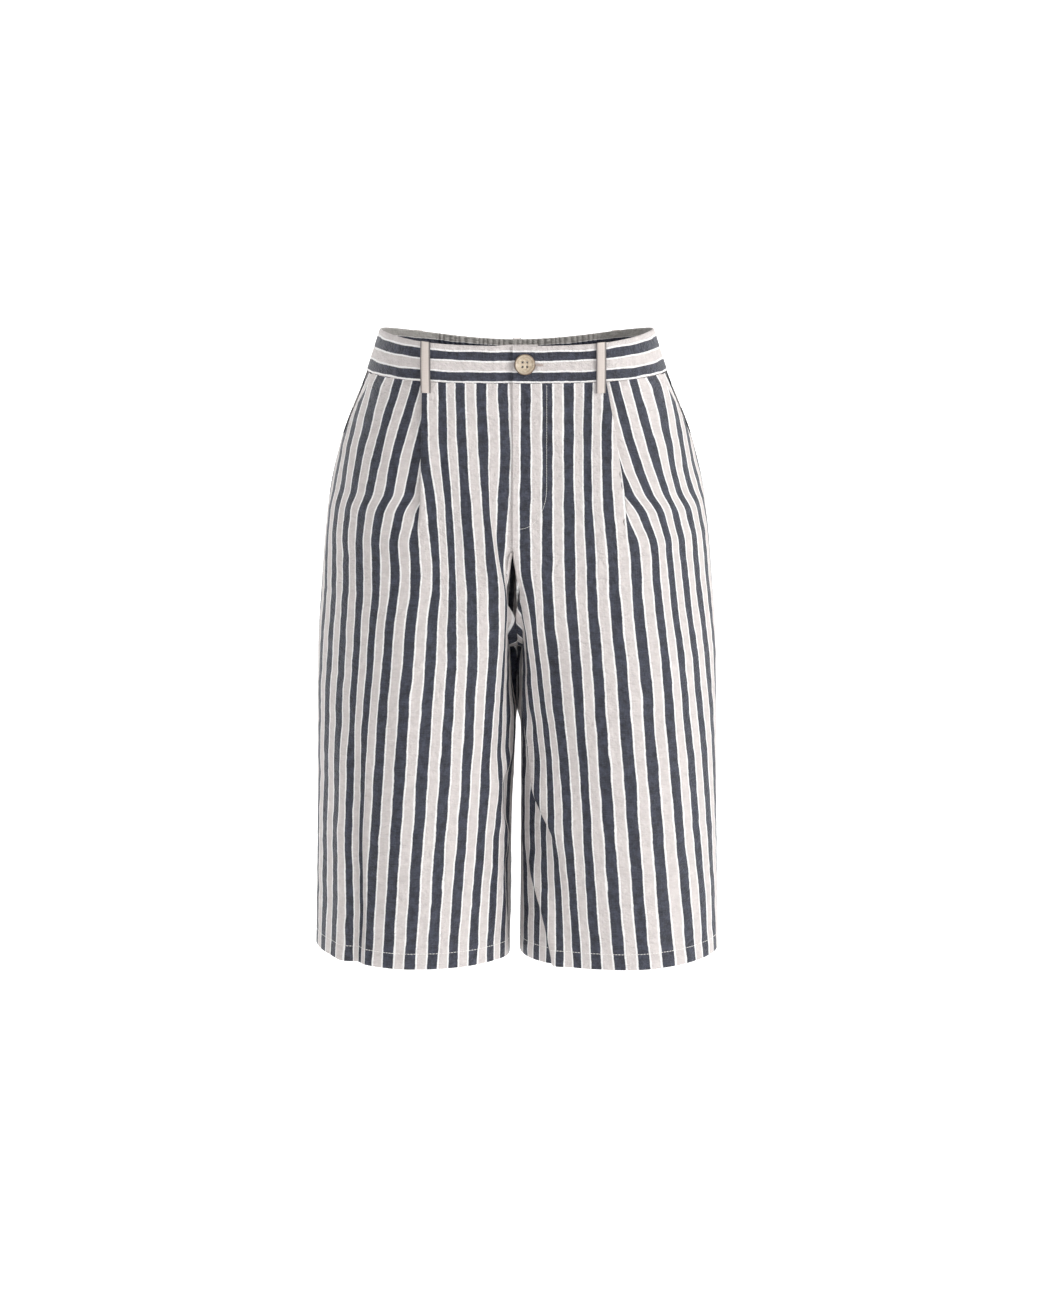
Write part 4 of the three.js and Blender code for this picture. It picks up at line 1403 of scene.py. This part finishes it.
# The J that holds the fly: down, then round to the lap's foot.
def flyLine():
    turn = {"across": 28.3, "start": -38.0, "bend": -134.0, "foot": -173.0, "end": 3.0}
    points = []
    for z in levels((turn["start"], turn["bend"]), 3.0):
        line = frontLine(leftSide, z)
        distance = line[0].whereAcross(turn["across"])
        points.append(frontCloth(leftSide, z, line, distance, stitches["aboveFly"])[0])
    for i in range(1, 25):
        angle = math.pi / 2 * i / 24
        z = turn["bend"] - (turn["bend"] - turn["foot"]) * math.sin(angle)
        x = turn["end"] + (turn["across"] - turn["end"]) * math.cos(angle)
        line = frontLine(leftSide, z)
        distance = line[0].whereAcross(x)
        points.append(frontCloth(leftSide, z, line, distance, stitches["aboveFly"])[0])
    return mirrorPoints(leftSide, points)


makeStitches(
    "hem_stitches",
    [hemLine(side, isBack) for side in (leftSide, rightSide) for isBack in (False, True)],
    3.1, 2.9, 0.72,
)
makeStitches("fly_stitches", [flyLine()], 2.4, 2.7, 0.40)
print("stage: stitches made")


# Thread drawn down through the button's holes, near black as painted shade inside the holes.
def holeThreads():
    frameMatrix = buttonFrame()
    half = buttonSettings["holePitch"] / 2
    lines = []
    for x, y in ((half, half), (half, -half), (-half, -half), (-half, half)):
        for shift in (-0.3, 0.3):
            foot = frameMatrix @ (Vector((x + shift, y, 0.1)) * mm)
            top = frameMatrix @ (Vector((x + shift, y, 1.1)) * mm)
            lines.append([foot, top])
    return lines


# The buttonhole's sewn end, which shows beyond the button's rim.
def buttonholeLines():
    lines = []
    for lower in (-1.0, 1.0):
        line = []
        for i in range(24):
            x = mix(9.0, 24.5, i / 23)
            line.append(bandPoint(buttonSettings["height"] - 0.3 + lower * 0.5, x, 1.3))
        lines.append(line)
    return lines


makeStitches(
    "button_hole_shade_thread", holeThreads(), 0.4, 0.7, 0.7,
    threadMaterial("button_hole_shade_thread", holeShadeThread),
)
makeStitches(
    "buttonhole_stitches", buttonholeLines(), 0.5, 0.75, 0.7,
    threadMaterial("buttonhole_thread", buttonholeThread),
)
print("stage: button thread made")
# Camera at the photograph's angle, lights and a plain pale set.
view = {
    "centre": (0.003, 0.0, -0.3076),
    "distance": 2.6,
    "elevation": 10.0,
    "lens": 72.0,
    "sensor": 36.0,
    "nearest": 0.05,
    "farthest": 60.0,
}


def lookAlong(obj, direction):
    obj.rotation_mode = "QUATERNION"
    obj.rotation_quaternion = direction.to_track_quat("-Z", "Y")


camera = addObject("camera", bpy.data.cameras.new("camera"))
camera.data.lens = view["lens"]
camera.data.sensor_width = view["sensor"]
rise = math.radians(view["elevation"])
back = Vector((0, -math.cos(rise), math.sin(rise)))
camera.location = Vector(view["centre"]) + back * view["distance"]
lookAlong(camera, -back)
camera.data.clip_start = view["nearest"]
camera.data.clip_end = view["farthest"]
bpy.context.scene.camera = camera

lights = (
    dict(name="key", at=(2.9, -2.0, 1.1), size=1.3, power=70, colour=(1.0, 0.99, 0.98)),
    dict(name="fill", at=(-0.9, -3.4, 0.6), size=2.0, power=10, colour=(0.98, 0.99, 1.0)),
    dict(name="top", at=(0.4, -0.5, 2.3), size=1.6, power=10, colour=(1.0, 1.0, 1.0)),
)
for light in lights:
    data = bpy.data.lights.new(light["name"], "AREA")
    data.size = light["size"]
    data.energy = light["power"]
    data.color = light["colour"]
    lamp = addObject(light["name"], data)
    lamp.location = light["at"]
    lookAlong(lamp, Vector((0, 0, -0.3)) - lamp.location)

# Lengths in metres. behind and before are how strongly the set glows there, and it dims
# from glowTo to glowFrom along Y, sooner at the sides.
studio = {
    "floor": -1.15,
    "flat": 3.6,
    "bend": 1.6,
    "top": 4.5,
    "sides": 96,
    "behind": 0.62,
    "before": 0.1,
    "glowFrom": -1.2,
    "glowTo": 0.1,
    "sideways": -0.35,
    "ambient": 0.1,
}
world = bpy.data.worlds.new("studio")
bpy.context.scene.world = world
world.use_nodes = True
ambient = {"Color": (1.0, 1.0, 1.0, 1.0), "Strength": studio["ambient"]}
setInputs(world.node_tree.nodes["Background"], ambient)


# A pale round floor that sweeps up into a wall on every side. It glows less at the front.
def makeSet():
    outline = [(0.0, studio["floor"]), (studio["flat"], studio["floor"])]
    for i in range(1, 17):
        angle = math.pi / 2 * i / 16
        outline.append((
            studio["flat"] + studio["bend"] * math.sin(angle),
            studio["floor"] + studio["bend"] * (1 - math.cos(angle)),
        ))
    outline.append((studio["flat"] + studio["bend"], studio["top"]))
    sides = studio["sides"]
    vertices = [(0.0, 0.0, studio["floor"])]
    for radius, height in outline[1:]:
        for i in range(sides):
            angle = 2 * math.pi * i / sides
            vertices.append((radius * math.cos(angle), radius * math.sin(angle), height))
    faces = [(0, 1 + i, 1 + (i + 1) % sides) for i in range(sides)]
    for k in range(len(outline) - 2):
        for i in range(sides):
            j = (i + 1) % sides
            a = 1 + k * sides
            faces.append((a + i, a + sides + i, a + sides + j, a + j))
    mesh = bpy.data.meshes.new("studio_set")
    mesh.from_pydata(vertices, [], faces)
    mesh.shade_smooth()
    obj = addObject("studio_set", mesh)
    material, tree, shader = newMaterial("studio_white")
    pale = (0.93, 0.93, 0.93, 1)
    setInputs(shader, {"Base Color": pale, "Roughness": 0.9, "Emission Color": (1, 1, 1, 1)})
    axes = splitAxes(tree, objectCoordinates(tree))
    aside = maths(tree, "ABSOLUTE", axes[0])
    backward = maths(tree, "MULTIPLY_ADD", aside, studio["sideways"], axes[1])
    share = ramp(tree, backward, studio["glowFrom"], studio["glowTo"])
    glow = maths(tree, "MULTIPLY_ADD", share, studio["behind"] - studio["before"], studio["before"])
    tree.links.new(glow, shader.inputs["Emission Strength"])
    obj.data.materials.append(material)


makeSet()
bpy.context.scene.view_settings.view_transform = "Standard"
print("stage: set and lights made")
